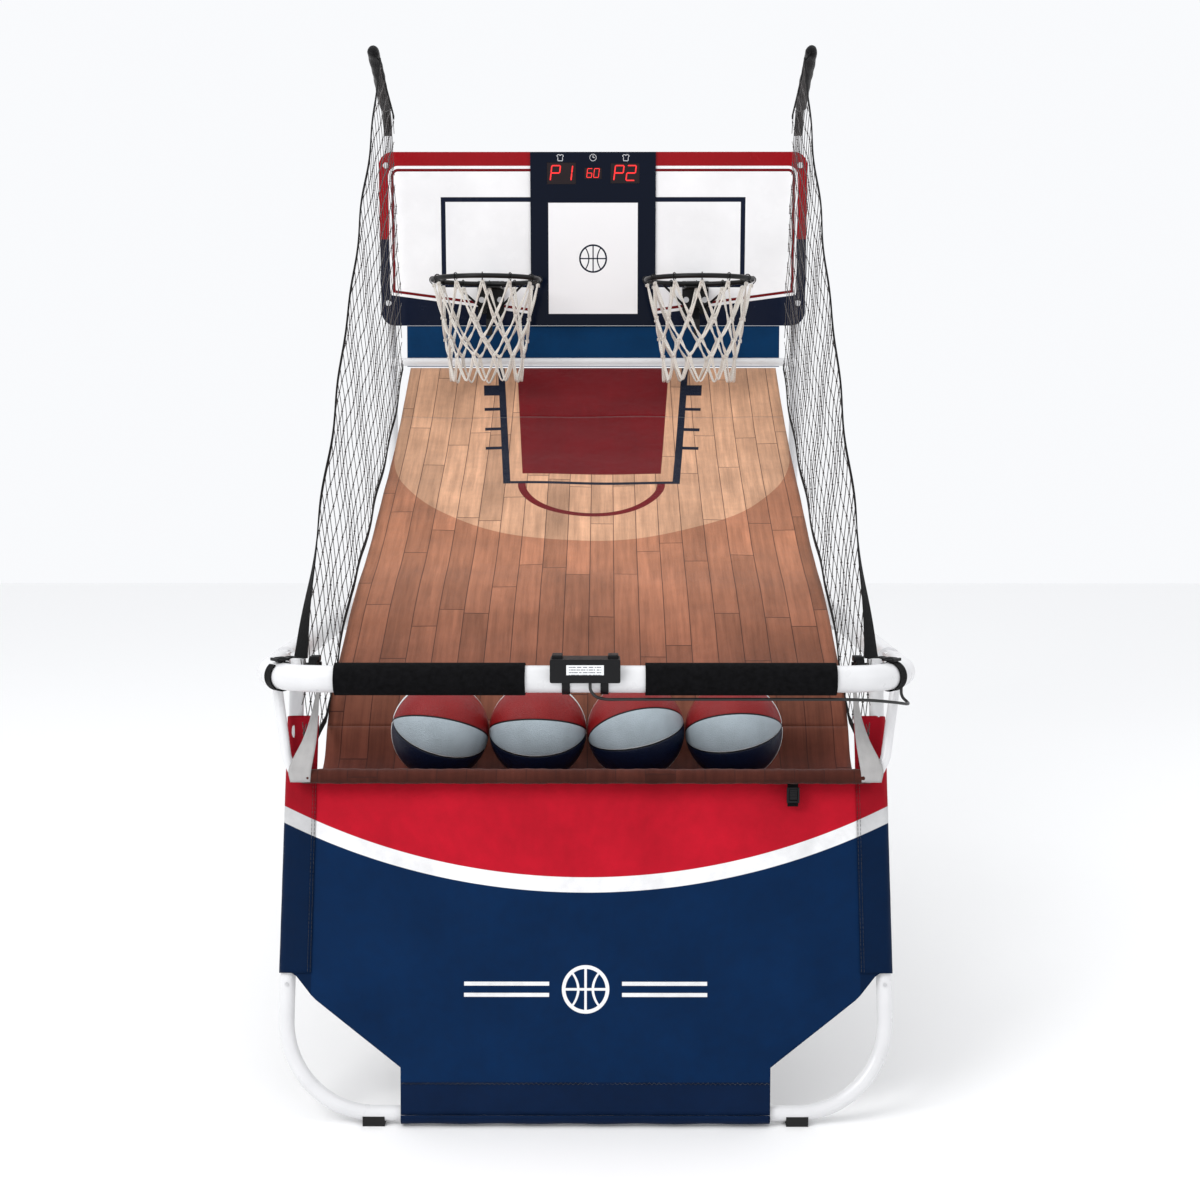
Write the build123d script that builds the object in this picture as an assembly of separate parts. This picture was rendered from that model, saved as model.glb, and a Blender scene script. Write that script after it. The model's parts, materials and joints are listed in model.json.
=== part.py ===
from build123d import *
import math
import os

# Folding two-player basketball hoop machine, in millimetres.
# Origin: floor level, middle of the footprint. +X right, -Y towards the players, +Z up.
# "back" is a distance behind the front bar's centre line.

# Overall layout
LENGTH = 2045.0
BAR_Z = 729.0                 # front bar and side rails
RAIL_X = 528.0
RAIL_R = 22.0
TUBE_WALL = 1.5
BAR_BEND = 110.0
POST_X = 531.0                # rear uprights
POST_R = 12.5                 # legs, uprights and foot tubes
FOOT_BEND = 150.0
FOOT_Z = 18.0
FOOT_RISE = 186.0             # height of a foot tube's arms along its slope
SPIGOT = 40.0                 # a swaged end inside the tube above it
RUN_FIT = 0.05                # radial clearance of a pin in its hole
SEAT = 0.1                    # clearance of a saddle or clip on a tube
CLEAR = 0.35                  # clearance beside a curved or soft face

# Front stand
LEG_X = 493.0
LEG_FOOT_BACK = -36.0
LEG_TOP_BACK = 167.0
LEG_TOP_Z = 745.0
KNOB_BACK = 163.0
KNOB_Z = 729.0
KNOB_R = 16.0
BOLT_R = 5.0
GRIP_R = 26.5
GRIP_INNER = 97.0
GRIP_LENGTH = 308.0
DROP_R = 8.5
DROP_BACK = 118.0
DROP_TOP_X = 521.0
DROP_KNEE_X = 500.0
SLEEVE_BACK = 73.0
SLEEVE_Z = 555.0
SLEEVE_KNEE = 30.0
FABRIC_T = 2.0
PANEL_TOP = 540.0
PANEL_SLEEVE_TOP = 640.0
PANEL_SLEEVE_LOW = 236.0
PANEL_CUT_X = 300.0
PANEL_CUT_LOW = 75.0
FOOT_PAD_X = 345.0
FOOT_PAD_W = 36.0
FOOT_PAD_D = 2 * POST_R
SNAP_R = 3.0

# Side rails and their fold
FRONT_PIVOT = 215.0
REAR_PIVOT = 1890.0
PIVOT_DROP = 32.0             # centre hinge below the rails' centre line
PIN_R = 5.0
EYE_R = 17.0
EYE_HALF = 5.9
FORK_INNER = 6.4
FORK_OUTER = 14.0
EYE_REACH = 27.0              # from a pivot to the tube end beside it
KNUCKLE_R = 9.0
KNUCKLE_BASE = 36.0
JOINT_GAP = 0.6

# Rear frame
POST_TOP_BACK = 1865.0
POST_TOP_Z = 1834.0
POST_END_Z = 1880.0
CROSSBAR_R = 10.5
CROSSBAR_BACK = 1830.0
CROSSBAR_Z = 1300.0
CROSSBAR_BEND = 36.0
COLLAR_R = 18.0
COLLAR_H = 48.0

# Backboard and scoreboard
BOARD_W = 1100.0
BOARD_H = 440.0
BOARD_T = 12.0
BOARD_LOW = 1394.0
BOARD_BACK = 1840.0           # front face at the lower edge
BOARD_TILT = 4.0
BOARD_CORNER = 36.0
BOARD_RAIL_R = 9.0
BOARD_RAIL_UP = (58.0, 406.0)  # rails and edge bolts, along the board
RAIL_ABOVE_BOLT = 34.0
BOARD_BOLT_R = 4.0
BOLT_HEAD_R = 7.5
SCORE_W = 322.0
SCORE_T = 6.0
CASE_W = 300.0
CASE_H = 212.0
CASE_D = 28.0
CASE_UP = 316.0               # middle of the case along the board
CASE_WALL = 2.5
DISPLAY_UP = 386.0
DISPLAYS = ((-81.0, 74.0, 54.0), (0.0, 44.0, 28.0), (82.0, 74.0, 50.0))
DISPLAY_T = 8.0
SPEAKER_R = 30.0
SPEAKER_AT = (-70.0, CASE_UP - 45.0)

# Hoops
HOOP_X = 265.0
HOOP_R = 132.0                # to the middle of the wire
WIRE_R = 6.0
HOOP_BACK = 1640.0
HOOP_Z = 1496.0
HOOP_NET_LOW_R = 89.0
HOOP_NET_H = 240.0
HOOP_NET_T = 2.4
BRACKET_W = 68.0
BRACKET_H = 84.0
BRACKET_T = 4.0
BRACE_R = 3.0
BRACE_SPREAD = 90.0
PADDLE_W = 16.0
PADDLE_T = 4.0
PADDLE_PIN_R = 2.5
PADDLE_OUT = 20.0             # paddle hinge in front of the board
PADDLE_DROP = 62.0            # and below the hoop
PADDLE_LENGTH = 70.0
PADDLE_REACH = 64.0

# Nets, court and balls
NET_X = 474.5
NET_T = 2.4
TIP_BACK = 1575.0
TIP_Z = 2041.7
POLE_BEND = 70.0
POLE_KNEE = 52.0              # corner of the bend above the upright's end
NET_SLEEVE_R = 15.0
COURT_X = 472.8
COURT_T = 3.0
TRAY_END = 345.0
SPLIT = 1590.0
BALL_R = 85.5
BALL_WALL = 3.5
BALL_PITCH = 171.6
BALL_BACK = 235.0
TRAY_FLOOR = 517.0
TRAY_DIP = ((150, 532), (212, TRAY_FLOOR), (256, TRAY_FLOOR), (308, 539))
COURT_END_BACK = 1812.0
COURT_END_Z = 1284.0
COURT_SLOPE = ((400, 645), (511, 698), (702, 788), (949, 872), (1179, 969), (1435, 1078))
SPLIT_Z = 1157.0
TRAY_END_Z = 592.0

# Control box
BOX_W = 113.0
BOX_FRONT = -34.0
BOX_REAR = 16.0
BOX_LOW = 727.0
BOX_HIGH = 765.0
BUTTON_W = 17.0
BUTTON_D = 30.0
BUTTON_H = 10.0
CABLE_R = 2.5

# Places that follow from the sizes above
FRONT_REACH = -LEG_FOOT_BACK + POST_R + CLEAR + FABRIC_T + 0.15
MIDDLE = LENGTH / 2 - FRONT_REACH
POST_FOOT_BACK = LENGTH - FRONT_REACH - POST_R
LEG_SLOPE = math.atan2(LEG_TOP_BACK - LEG_FOOT_BACK, LEG_TOP_Z - FOOT_Z)
POST_SLOPE = math.atan2(POST_TOP_BACK - POST_FOOT_BACK, POST_TOP_Z - FOOT_Z)
BALL_Z = TRAY_FLOOR + COURT_T / 2 + 0.5 + BALL_R
CENTRE_PIVOT = (FRONT_PIVOT + REAR_PIVOT) / 2


def at(x, back, z):
    return Vector(x, back - MIDDLE, z)


def post_back(z):
    return POST_FOOT_BACK + (z - FOOT_Z) * math.tan(POST_SLOPE)


def leg_back(z):
    return LEG_FOOT_BACK + (z - FOOT_Z) * math.tan(LEG_SLOPE)


def board_back(z):
    return BOARD_BACK - (z - BOARD_LOW) * math.tan(math.radians(BOARD_TILT))


def stand_plane():
    """Plane of the legs: x across, y up along them, z towards the players."""
    return Plane(at(0, LEG_FOOT_BACK, FOOT_Z), x_dir=(1, 0, 0),
                 z_dir=(0, -math.cos(LEG_SLOPE), math.sin(LEG_SLOPE)))


def rear_plane():
    """Plane of the uprights: x across, y up along them, z towards the players."""
    return Plane(at(0, POST_FOOT_BACK, FOOT_Z), x_dir=(1, 0, 0),
                 z_dir=(0, -math.cos(POST_SLOPE), math.sin(POST_SLOPE)))


def board_plane():
    """Front face of the backboard: x across, y up the board, z towards the players."""
    tilt = math.radians(BOARD_TILT)
    return Plane(at(0, BOARD_BACK, BOARD_LOW), x_dir=(1, 0, 0), z_dir=(0, -math.cos(tilt), -math.sin(tilt)))


def rod(start, end, radius):
    line = end - start
    standing = (Align.CENTER, Align.CENTER, Align.MIN)
    return Plane(start, z_dir=line) * Cylinder(radius, line.length, align=standing)


def pipe(start, end, radius, inner):
    return rod(start, end, radius) - rod(start, end, inner)


def bent(points, radii, radius, inner=0.0):
    path = FilletPolyline(*points, radius=radii)
    section = Circle(radius) if inner <= 0 else Circle(radius) - Circle(inner)
    return sweep(Plane(path @ 0, z_dir=path % 0) * section, path=path)


def box_between(x, back, z):
    size = (x[1] - x[0], back[1] - back[0], z[1] - z[0])
    middle = at((x[0] + x[1]) / 2, (back[0] + back[1]) / 2, (z[0] + z[1]) / 2)
    return Pos(*middle) * Box(*size)


def side_prism(outline, x0, x1):
    """Solid whose outline is given as (back, height) points, between two planes across X."""
    wire = Polyline(*[at(x0, back, z) for back, z in outline], close=True)
    return extrude(make_face(wire), amount=x1 - x0, dir=(1, 0, 0))


def both_sides(make):
    """The same piece on the left and on the right."""
    return [make(side) for side in (-1, 1)]


def save(name, pieces):
    solids = pieces if isinstance(pieces, (list, tuple)) else [pieces]
    flat = [solid for piece in solids for solid in piece.solids()]
    shape = flat[0] if len(flat) == 1 else Compound(children=flat)
    export_step(shape, f"parts/{name}.step")


# ---------------------------------------------------------------- front stand
def front_bar():
    points = [at(-RAIL_X, FRONT_PIVOT - EYE_REACH, BAR_Z), at(-RAIL_X, 0, BAR_Z),
              at(RAIL_X, 0, BAR_Z), at(RAIL_X, FRONT_PIVOT - EYE_REACH, BAR_Z)]
    bar = bent(points, BAR_BEND, RAIL_R, RAIL_R - TUBE_WALL)
    for side in (-1, 1):
        bar += fork(side * RAIL_X, FRONT_PIVOT, -1)
        bar -= rod(at(side * (LEG_X - POST_R), KNOB_BACK, KNOB_Z), at(side * RAIL_X, KNOB_BACK, KNOB_Z),
                   BOLT_R)
    return bar


def fork(x, back, direction):
    """Two cheeks on a tube end that stops EYE_REACH short of the pivot, on its direction side."""
    cheeks = []
    base = back + direction * (EYE_REACH + TUBE_WALL)
    plug = rod(at(x, back + direction * EYE_REACH, BAR_Z), at(x, base + direction * 12, BAR_Z), RAIL_R - 0.5)
    for near, far in ((-FORK_OUTER, -FORK_INNER), (FORK_INNER, FORK_OUTER)):
        ring = rod(at(x + near, back, BAR_Z), at(x + far, back, BAR_Z), EYE_R)
        low, high = sorted((back, base))
        cheeks.append(ring + box_between((x + near, x + far), (low, high), (BAR_Z - EYE_R, BAR_Z + EYE_R)))
    hole = rod(at(x - FORK_OUTER - 1, back, BAR_Z), at(x + FORK_OUTER + 1, back, BAR_Z), PIN_R)
    return (cheeks[0] + cheeks[1] + plug) - hole


def eye(x, back, direction):
    """Tongue on a rail end that turns in a fork, with the rail on its direction side."""
    base = back + direction * (EYE_REACH + TUBE_WALL)
    low, high = sorted((back, base))
    plug = rod(at(x, back + direction * EYE_REACH, BAR_Z), at(x, base + direction * 12, BAR_Z), RAIL_R - 0.5)
    ring = rod(at(x - EYE_HALF, back, BAR_Z), at(x + EYE_HALF, back, BAR_Z), EYE_R)
    tongue = box_between((x - EYE_HALF, x + EYE_HALF), (low, high), (BAR_Z - EYE_R, BAR_Z + EYE_R))
    hole = rod(at(x - EYE_HALF - 1, back, BAR_Z), at(x + EYE_HALF + 1, back, BAR_Z), PIN_R + RUN_FIT)
    return (ring + tongue + plug) - hole


def hinge_pin(side, back):
    x = side * RAIL_X
    shank = rod(at(x - FORK_OUTER, back, BAR_Z), at(x + FORK_OUTER, back, BAR_Z), PIN_R)
    for near in (-FORK_OUTER - 4, FORK_OUTER):
        shank += rod(at(x + near, back, BAR_Z), at(x + near + 4, back, BAR_Z), PIN_R + 3)
    return shank


def leg(side):
    top = at(side * LEG_X, LEG_TOP_BACK, LEG_TOP_Z)
    low = stand_plane().from_local_coords(Vector(side * LEG_X, FOOT_RISE, 0))
    tube = pipe(low, top, POST_R, POST_R - TUBE_WALL)
    cap = rod(top, top + (top - low).normalized() * 4, POST_R)
    hole = rod(at(side * (LEG_X - 20), KNOB_BACK, KNOB_Z), at(side * (LEG_X + 20), KNOB_BACK, KNOB_Z), BOLT_R)
    return (tube + cap) - hole - snap_button(side, stand_plane(), LEG_X, RUN_FIT)


def foot_tube(plane, x, snap_holes):
    arms = FOOT_RISE
    points = [plane.from_local_coords(Vector(*p, 0)) for p in ((-x, arms), (-x, 0), (x, 0), (x, arms))]
    tube = bent(points, FOOT_BEND, POST_R, POST_R - TUBE_WALL)
    for side in (-1, 1):
        low = plane.from_local_coords(Vector(side * x, arms - 20, 0))
        high = plane.from_local_coords(Vector(side * x, arms + SPIGOT, 0))
        mouth = plane.from_local_coords(Vector(side * x, arms, 0))
        tube += pipe(low, mouth, POST_R - TUBE_WALL, POST_R - 2 * TUBE_WALL)
        tube += pipe(mouth, high, POST_R - TUBE_WALL - RUN_FIT, POST_R - 2 * TUBE_WALL)
        if snap_holes:
            tube -= snap_button(side, plane, x, RUN_FIT)
    return tube


def snap_button(side, plane, x, grow=0.0):
    """Sprung button that locks a leg on its foot tube, through the outer face of the joint."""
    inner = plane.from_local_coords(Vector(side * x, FOOT_RISE + SPIGOT / 2, POST_R - 4))
    outer = plane.from_local_coords(Vector(side * x, FOOT_RISE + SPIGOT / 2, POST_R + 2))
    return rod(inner, outer, SNAP_R + grow)


def foot_pad(side, back):
    low = at(side * FOOT_PAD_X, back, 0)
    pad = Pos(*low) * Box(FOOT_PAD_W, FOOT_PAD_D, FOOT_Z, align=(Align.CENTER, Align.CENTER, Align.MIN))
    tube = rod(low + Vector(-FOOT_PAD_W, 0, FOOT_Z), low + Vector(FOOT_PAD_W, 0, FOOT_Z), POST_R + SEAT)
    return pad - tube


def leg_knob(side):
    arm = side * (RAIL_X - 6)
    shank = rod(at(side * (NET_X - 10), KNOB_BACK, KNOB_Z), at(arm, KNOB_BACK, KNOB_Z), BOLT_R)
    head = rod(at(side * (NET_X - 16), KNOB_BACK, KNOB_Z), at(side * (NET_X - 2), KNOB_BACK, KNOB_Z), KNOB_R)
    lobes = [rod(at(side * (NET_X - 20), KNOB_BACK + 14 * math.cos(a), KNOB_Z + 14 * math.sin(a)),
                 at(side * (NET_X - 4), KNOB_BACK + 14 * math.cos(a), KNOB_Z + 14 * math.sin(a)), 5)
             for a in [math.tau * k / 6 for k in range(6)]]
    knob = shank + head
    for lobe in lobes:
        knob += lobe
    return knob


def grip(side):
    start = at(side * GRIP_INNER, 0, BAR_Z)
    end = at(side * (GRIP_INNER + GRIP_LENGTH), 0, BAR_Z)
    return pipe(start, end, GRIP_R, RAIL_R + SEAT)


def drop_tube():
    """Thin tube welded under both arms, which carries the court's front sleeve."""
    left = [at(-DROP_TOP_X - 2, DROP_BACK + 4, BAR_Z - RAIL_R / 2),
            at(-DROP_KNEE_X, SLEEVE_BACK + 8, SLEEVE_Z + SLEEVE_KNEE),
            at(-DROP_KNEE_X + 16, SLEEVE_BACK, SLEEVE_Z)]
    right = [at(DROP_KNEE_X - 16, SLEEVE_BACK, SLEEVE_Z),
             at(DROP_KNEE_X, SLEEVE_BACK + 8, SLEEVE_Z + SLEEVE_KNEE),
             at(DROP_TOP_X + 2, DROP_BACK + 4, BAR_Z - RAIL_R / 2)]
    tube = bent(left + right, [40, 22, 22, 40], DROP_R)
    for side in (-1, 1):
        tube -= rod(at(side * RAIL_X, 0, BAR_Z), at(side * RAIL_X, 300, BAR_Z), RAIL_R)
    return max(tube.solids(), key=lambda solid: solid.volume)


def front_panel():
    """Fabric in front of the legs, sewn into sleeves round them and round the foot tube."""
    plane = stand_plane()
    inner = POST_R + CLEAR
    outer = inner + FABRIC_T
    up = 1 / math.cos(LEG_SLOPE)
    top = (PANEL_TOP - FOOT_Z) * up
    low = (PANEL_SLEEVE_LOW - FOOT_Z) * up
    outline = [(-LEG_X, top), (-LEG_X, low), (-LEG_X + 30, low - 22), (-PANEL_CUT_X, PANEL_CUT_LOW),
               (-PANEL_CUT_X, 0), (PANEL_CUT_X, 0), (PANEL_CUT_X, PANEL_CUT_LOW),
               (LEG_X - 30, low - 22), (LEG_X, low), (LEG_X, top)]
    face = plane.offset(inner) * make_face(Polyline(*outline, close=True))
    sheet = extrude(face, amount=FABRIC_T)
    for side in (-1, 1):
        start = plane.from_local_coords(Vector(side * LEG_X, low, 0))
        end = plane.from_local_coords(Vector(side * LEG_X, (PANEL_SLEEVE_TOP - FOOT_Z) * up, 0))
        sheet += pipe(start, end, outer, inner)
    sheet += pipe(plane.from_local_coords(Vector(-PANEL_CUT_X, 0, 0)),
                  plane.from_local_coords(Vector(PANEL_CUT_X, 0, 0)), outer, inner)
    return sheet


# ---------------------------------------------------------------- control box
def control_case():
    case = box_between((-BOX_W / 2, BOX_W / 2), (BOX_FRONT, BOX_REAR), (BOX_LOW, BOX_HIGH))
    case = fillet(case.edges().filter_by(Axis.Y), 3)
    return case - rod(at(-BOX_W, 0, BAR_Z), at(BOX_W, 0, BAR_Z), RAIL_R + SEAT)


def control_box():
    case = control_case()
    room = box_between((-BOX_W / 2 + 2.5, BOX_W / 2 - 2.5), (BOX_FRONT + 2.5, -RAIL_R - 2.5 + 1),
                       (BOX_LOW + 2.5, BOX_HIGH - 2.5))
    shelf = box_between((-BOX_W / 2 + 2.5, BOX_W / 2 - 2.5), (BOX_FRONT + 2.5, BOX_REAR - 2.5),
                        (BAR_Z + RAIL_R + 2.5, BOX_HIGH - 2.5))
    case -= room + shelf
    for side in (-1, 1):
        case -= button_block(side, 0.4)
    return case


def button_block(side, grow=0.0):
    x = side * (BOX_W / 2 - BUTTON_W / 2 - 3)
    half = BUTTON_W / 2 + grow
    middle = (BOX_FRONT + BOX_REAR) / 2
    return box_between((x - half, x + half), (middle - BUTTON_D / 2 - grow, middle + BUTTON_D / 2 + grow),
                       (BOX_HIGH - 4, BOX_HIGH + BUTTON_H - 4))


def control_button(side):
    block = button_block(side)
    return fillet(block.faces().sort_by(Axis.Z)[-1].edges(), 2)


def control_board():
    return box_between((-BOX_W / 2 + 24, BOX_W / 2 - 24), (BOX_FRONT + 6, BOX_REAR - 6),
                       (BAR_Z + RAIL_R + 3.2, BAR_Z + RAIL_R + 4.8)) + box_between(
        (-30, 30), (BOX_FRONT + 6, BOX_REAR - 10), (BAR_Z + RAIL_R + 2.5, BAR_Z + RAIL_R + 3.2))


def control_clips():
    """Two straps that hold the box on the bar, from its front edge under the tube."""
    clips = []
    for x in (-31.0, 31.0):
        ring = pipe(at(x - 6.5, 0, BAR_Z), at(x + 6.5, 0, BAR_Z), RAIL_R + 3, RAIL_R + SEAT)
        clips.append(ring - box_between((x - 9, x + 9), (BOX_FRONT, BOX_REAR), (BOX_LOW, BOX_HIGH)))
    return clips


def cable_points():
    """Route of the score cable from the control box, under the bar to the right arm."""
    return [(8, -28.5, BOX_LOW), (8, -28.5, 715), (17, -24, 703), (34, -10, 697), (60, 0, 696),
            (420, 0, 696), (468, 8, 693), (506, 26, 687), (531, 52, 680), (536, 80, 678),
            (526, 92, 687), (526, 92, BAR_Z - RAIL_R)]


def cable_front():
    return cord([at(*p) for p in cable_points()], CABLE_R)


def cable_rear():
    """Held lead from the right upright to the side of the scoreboard case."""
    z = BOARD_LOW + CASE_UP * math.cos(math.radians(BOARD_TILT)) + 18
    behind = board_back(z) + BOARD_T + CASE_D / 2
    end = POST_X - POST_R
    points = [at(CASE_W / 2, behind, z), at(CASE_W / 2 + 34, behind, z),
              at(CASE_W / 2 + 110, behind + 12, z - 34), at(CASE_W / 2 + 215, behind + 20, z - 36),
              at(end - 56, post_back(z), z), at(end - 0.2, post_back(z), z)]
    return cord(points, CABLE_R)


def cord(points, radius):
    """Tube of straight runs and tangent arcs, each arc as large as its two runs allow."""
    radii = []
    for a, b, c in zip(points, points[1:], points[2:]):
        turn = math.radians((b - a).get_angle(c - b))
        radii.append(0.45 * min((b - a).length, (c - b).length) / math.tan(turn / 2))
    return bent(points, radii, radius)


# ---------------------------------------------------------------- side rails
def half_rail(side, pivot, direction, knuckle):
    """Rail from one pivot to the centre hinge. direction is the way from the pivot to the centre."""
    x = side * RAIL_X
    start = at(x, pivot + direction * EYE_REACH, BAR_Z)
    end = at(x, CENTRE_PIVOT - direction * JOINT_GAP / 2, BAR_Z)
    rail = pipe(start, end, RAIL_R, RAIL_R - TUBE_WALL) + eye(x, pivot, direction)
    return rail + knuckle(side, -direction)


def knuckle_body(x0, x1, direction, hole_r):
    """Hinge leaf under a rail end: a round knuckle that tapers up to the tube on its own side."""
    z = BAR_Z - PIVOT_DROP
    far = CENTRE_PIVOT + direction * KNUCKLE_BASE
    near = CENTRE_PIVOT + direction * JOINT_GAP
    outline = [(near, z), (near, BAR_Z - RAIL_R + 3), (far, BAR_Z - RAIL_R + 3), (far, BAR_Z - RAIL_R - 1),
               (CENTRE_PIVOT + direction * KNUCKLE_R, z - KNUCKLE_R / 2), (CENTRE_PIVOT, z - KNUCKLE_R)]
    leaf = side_prism(outline, x0, x1) + rod(at(x0, CENTRE_PIVOT, z), at(x1, CENTRE_PIVOT, z), KNUCKLE_R)
    return leaf - rod(at(x0 - 1, CENTRE_PIVOT, z), at(x1 + 1, CENTRE_PIVOT, z), hole_r)


def rear_knuckle(side, direction):
    x = side * RAIL_X
    return knuckle_body(x - EYE_HALF, x + EYE_HALF, direction, PIN_R + RUN_FIT)


def front_knuckle(side, direction):
    x = side * RAIL_X
    left = knuckle_body(x - FORK_OUTER, x - FORK_INNER, direction, PIN_R)
    return left + knuckle_body(x + FORK_INNER, x + FORK_OUTER, direction, PIN_R)


def centre_pin(side):
    x = side * RAIL_X
    z = BAR_Z - PIVOT_DROP
    shank = rod(at(x - FORK_OUTER, CENTRE_PIVOT, z), at(x + FORK_OUTER, CENTRE_PIVOT, z), PIN_R)
    left = rod(at(x - FORK_OUTER - 3, CENTRE_PIVOT, z), at(x - FORK_OUTER, CENTRE_PIVOT, z), PIN_R + 2.5)
    right = rod(at(x + FORK_OUTER, CENTRE_PIVOT, z), at(x + FORK_OUTER + 3, CENTRE_PIVOT, z), PIN_R + 2.5)
    return shank + left + right


# ---------------------------------------------------------------- rear frame
def upright(side):
    plane = rear_plane()
    up = 1 / math.cos(POST_SLOPE)
    low = plane.from_local_coords(Vector(side * POST_X, FOOT_RISE, 0))
    high = plane.from_local_coords(Vector(side * POST_X, (POST_END_Z - FOOT_Z) * up, 0))
    return pipe(low, high, POST_R, POST_R - TUBE_WALL)


def post_core(side, radius=POST_R):
    """A rod along an upright, for what fits round it or is cut to it."""
    plane = rear_plane()
    low = plane.from_local_coords(Vector(side * POST_X, 60, 0))
    high = plane.from_local_coords(Vector(side * POST_X, POST_END_Z, 0))
    return rod(low, high, radius)


def hinge_bracket(side):
    """Collar on an upright with the fork that carries the rear rail."""
    x = side * RAIL_X
    back = post_back(BAR_Z)
    plane = rear_plane()
    up = (BAR_Z - FOOT_Z) / math.cos(POST_SLOPE)
    low = plane.from_local_coords(Vector(side * POST_X, up - COLLAR_H / 2, 0))
    high = plane.from_local_coords(Vector(side * POST_X, up + COLLAR_H / 2, 0))
    bracket = rod(low, high, COLLAR_R)
    for near, far in ((-FORK_OUTER, -FORK_INNER), (FORK_INNER, FORK_OUTER)):
        bracket += rod(at(x + near, REAR_PIVOT, BAR_Z), at(x + far, REAR_PIVOT, BAR_Z), EYE_R)
        bracket += box_between((x + near, x + far), (REAR_PIVOT, back), (BAR_Z - EYE_R, BAR_Z + EYE_R))
    bracket -= box_between((x - FORK_INNER, x + FORK_INNER), (REAR_PIVOT - EYE_R, REAR_PIVOT + EYE_R + 1.5),
                           (BAR_Z - 60, BAR_Z + 60))
    hole = rod(at(x - FORK_OUTER - 1, REAR_PIVOT, BAR_Z), at(x + FORK_OUTER + 1, REAR_PIVOT, BAR_Z), PIN_R)
    return bracket - hole - post_core(side)


def court_crossbar():
    reach = post_back(CROSSBAR_Z)
    points = [at(-POST_X, reach, CROSSBAR_Z), at(-POST_X, CROSSBAR_BACK, CROSSBAR_Z),
              at(POST_X, CROSSBAR_BACK, CROSSBAR_Z), at(POST_X, reach, CROSSBAR_Z)]
    return bent(points, CROSSBAR_BEND, CROSSBAR_R) - post_core(-1) - post_core(1)


def net_pole(side):
    plane = rear_plane()
    up = 1 / math.cos(POST_SLOPE)
    root = plane.from_local_coords(Vector(side * POST_X, (POST_END_Z - FOOT_Z) * up - 110, 0))
    knee = plane.from_local_coords(Vector(side * POST_X, (POST_END_Z - FOOT_Z) * up + POLE_KNEE, 0))
    return bent([root, knee, at(side * POST_X, TIP_BACK, TIP_Z)], POLE_BEND, POST_R - TUBE_WALL - RUN_FIT,
                POST_R - 2 * TUBE_WALL)


def pole_sleeve(side):
    plane = rear_plane()
    up = 1 / math.cos(POST_SLOPE)
    knee = plane.from_local_coords(Vector(side * POST_X, (POST_END_Z - FOOT_Z) * up + POLE_KNEE, 0))
    tip = at(side * POST_X, TIP_BACK, TIP_Z)
    inner = POST_R - TUBE_WALL - RUN_FIT + CLEAR
    along = (tip - knee).normalized()
    run = pipe(knee + along * 42, tip + along, NET_SLEEVE_R, inner)
    return run + rod(tip + along * 0.4, tip + along * 4, NET_SLEEVE_R)


# ---------------------------------------------------------------- backboard and scoreboard
def backboard():
    plane = board_plane()
    outline = Rectangle(BOARD_W, BOARD_H, align=(Align.CENTER, Align.MIN))
    outline = fillet(outline.vertices(), BOARD_CORNER)
    board = extrude(plane * outline, amount=-BOARD_T)
    for x, width, height in DISPLAYS:
        board -= on_board(x, DISPLAY_UP, width + 0.8, height + 0.8, 1, -BOARD_T - 1)
    for bolt in board_bolts(0.0):
        board -= bolt
    return board


def on_board(x, up, width, height, front, rear):
    """Block on the backboard, centred at (x, up), between two depths in front of its face."""
    face = board_plane().offset(rear) * Pos(x, up) * Rectangle(width, height)
    return extrude(face, amount=front - rear)


def bolt_places():
    places = [(side * POST_X, up) for side in (-1, 1) for up in BOARD_RAIL_UP]
    hoop_up = (HOOP_Z - BOARD_LOW) / math.cos(math.radians(BOARD_TILT))
    places += [(side * HOOP_X + dx, hoop_up + dz) for side in (-1, 1) for dx in (-24, 24) for dz in (-36, 4)]
    return places


def board_bolts(head=4.0):
    plane = board_plane()
    bolts = []
    for x, up in bolt_places():
        front = BRACKET_T if abs(abs(x) - HOOP_X) < BRACKET_W else 0.0
        start = plane.from_local_coords(Vector(x, up, -BOARD_T - 8))
        end = plane.from_local_coords(Vector(x, up, front))
        bolt = rod(start, end, BOARD_BOLT_R)
        if head > 0:
            bolt += rod(end, plane.from_local_coords(Vector(x, up, front + head)), BOLT_HEAD_R)
        bolts.append(bolt)
    return bolts


def board_bracket(side, up):
    """Block between the backboard and an upright, at an edge bolt."""
    block = on_board(side * POST_X, up, 28, 34, -BOARD_T, -90)
    hole = rod(board_plane().from_local_coords(Vector(side * POST_X, up, -BOARD_T - 8)),
               board_plane().from_local_coords(Vector(side * POST_X, up, 0)), BOARD_BOLT_R)
    near = block - post_core(side, POST_R + SEAT) - hole
    return near.solids().sort_by(Axis.Y)[0]


def board_rails():
    rails = []
    for up in BOARD_RAIL_UP:
        z = BOARD_LOW + up * math.cos(math.radians(BOARD_TILT)) + RAIL_ABOVE_BOLT
        back = post_back(z)
        rail = pipe(at(-POST_X, back, z), at(POST_X, back, z), BOARD_RAIL_R, BOARD_RAIL_R - TUBE_WALL)
        rail -= post_core(-1) + post_core(1)
        rails.append(max(rail.solids(), key=lambda solid: solid.volume))
    return rails


def score_panel():
    panel = on_board(0, BOARD_H / 2, SCORE_W, BOARD_H - 1, SCORE_T, 0)
    for x, width, height in DISPLAYS:
        panel -= on_board(x, DISPLAY_UP, width + 0.8, height + 0.8, SCORE_T + 1, -1)
    return panel


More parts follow.
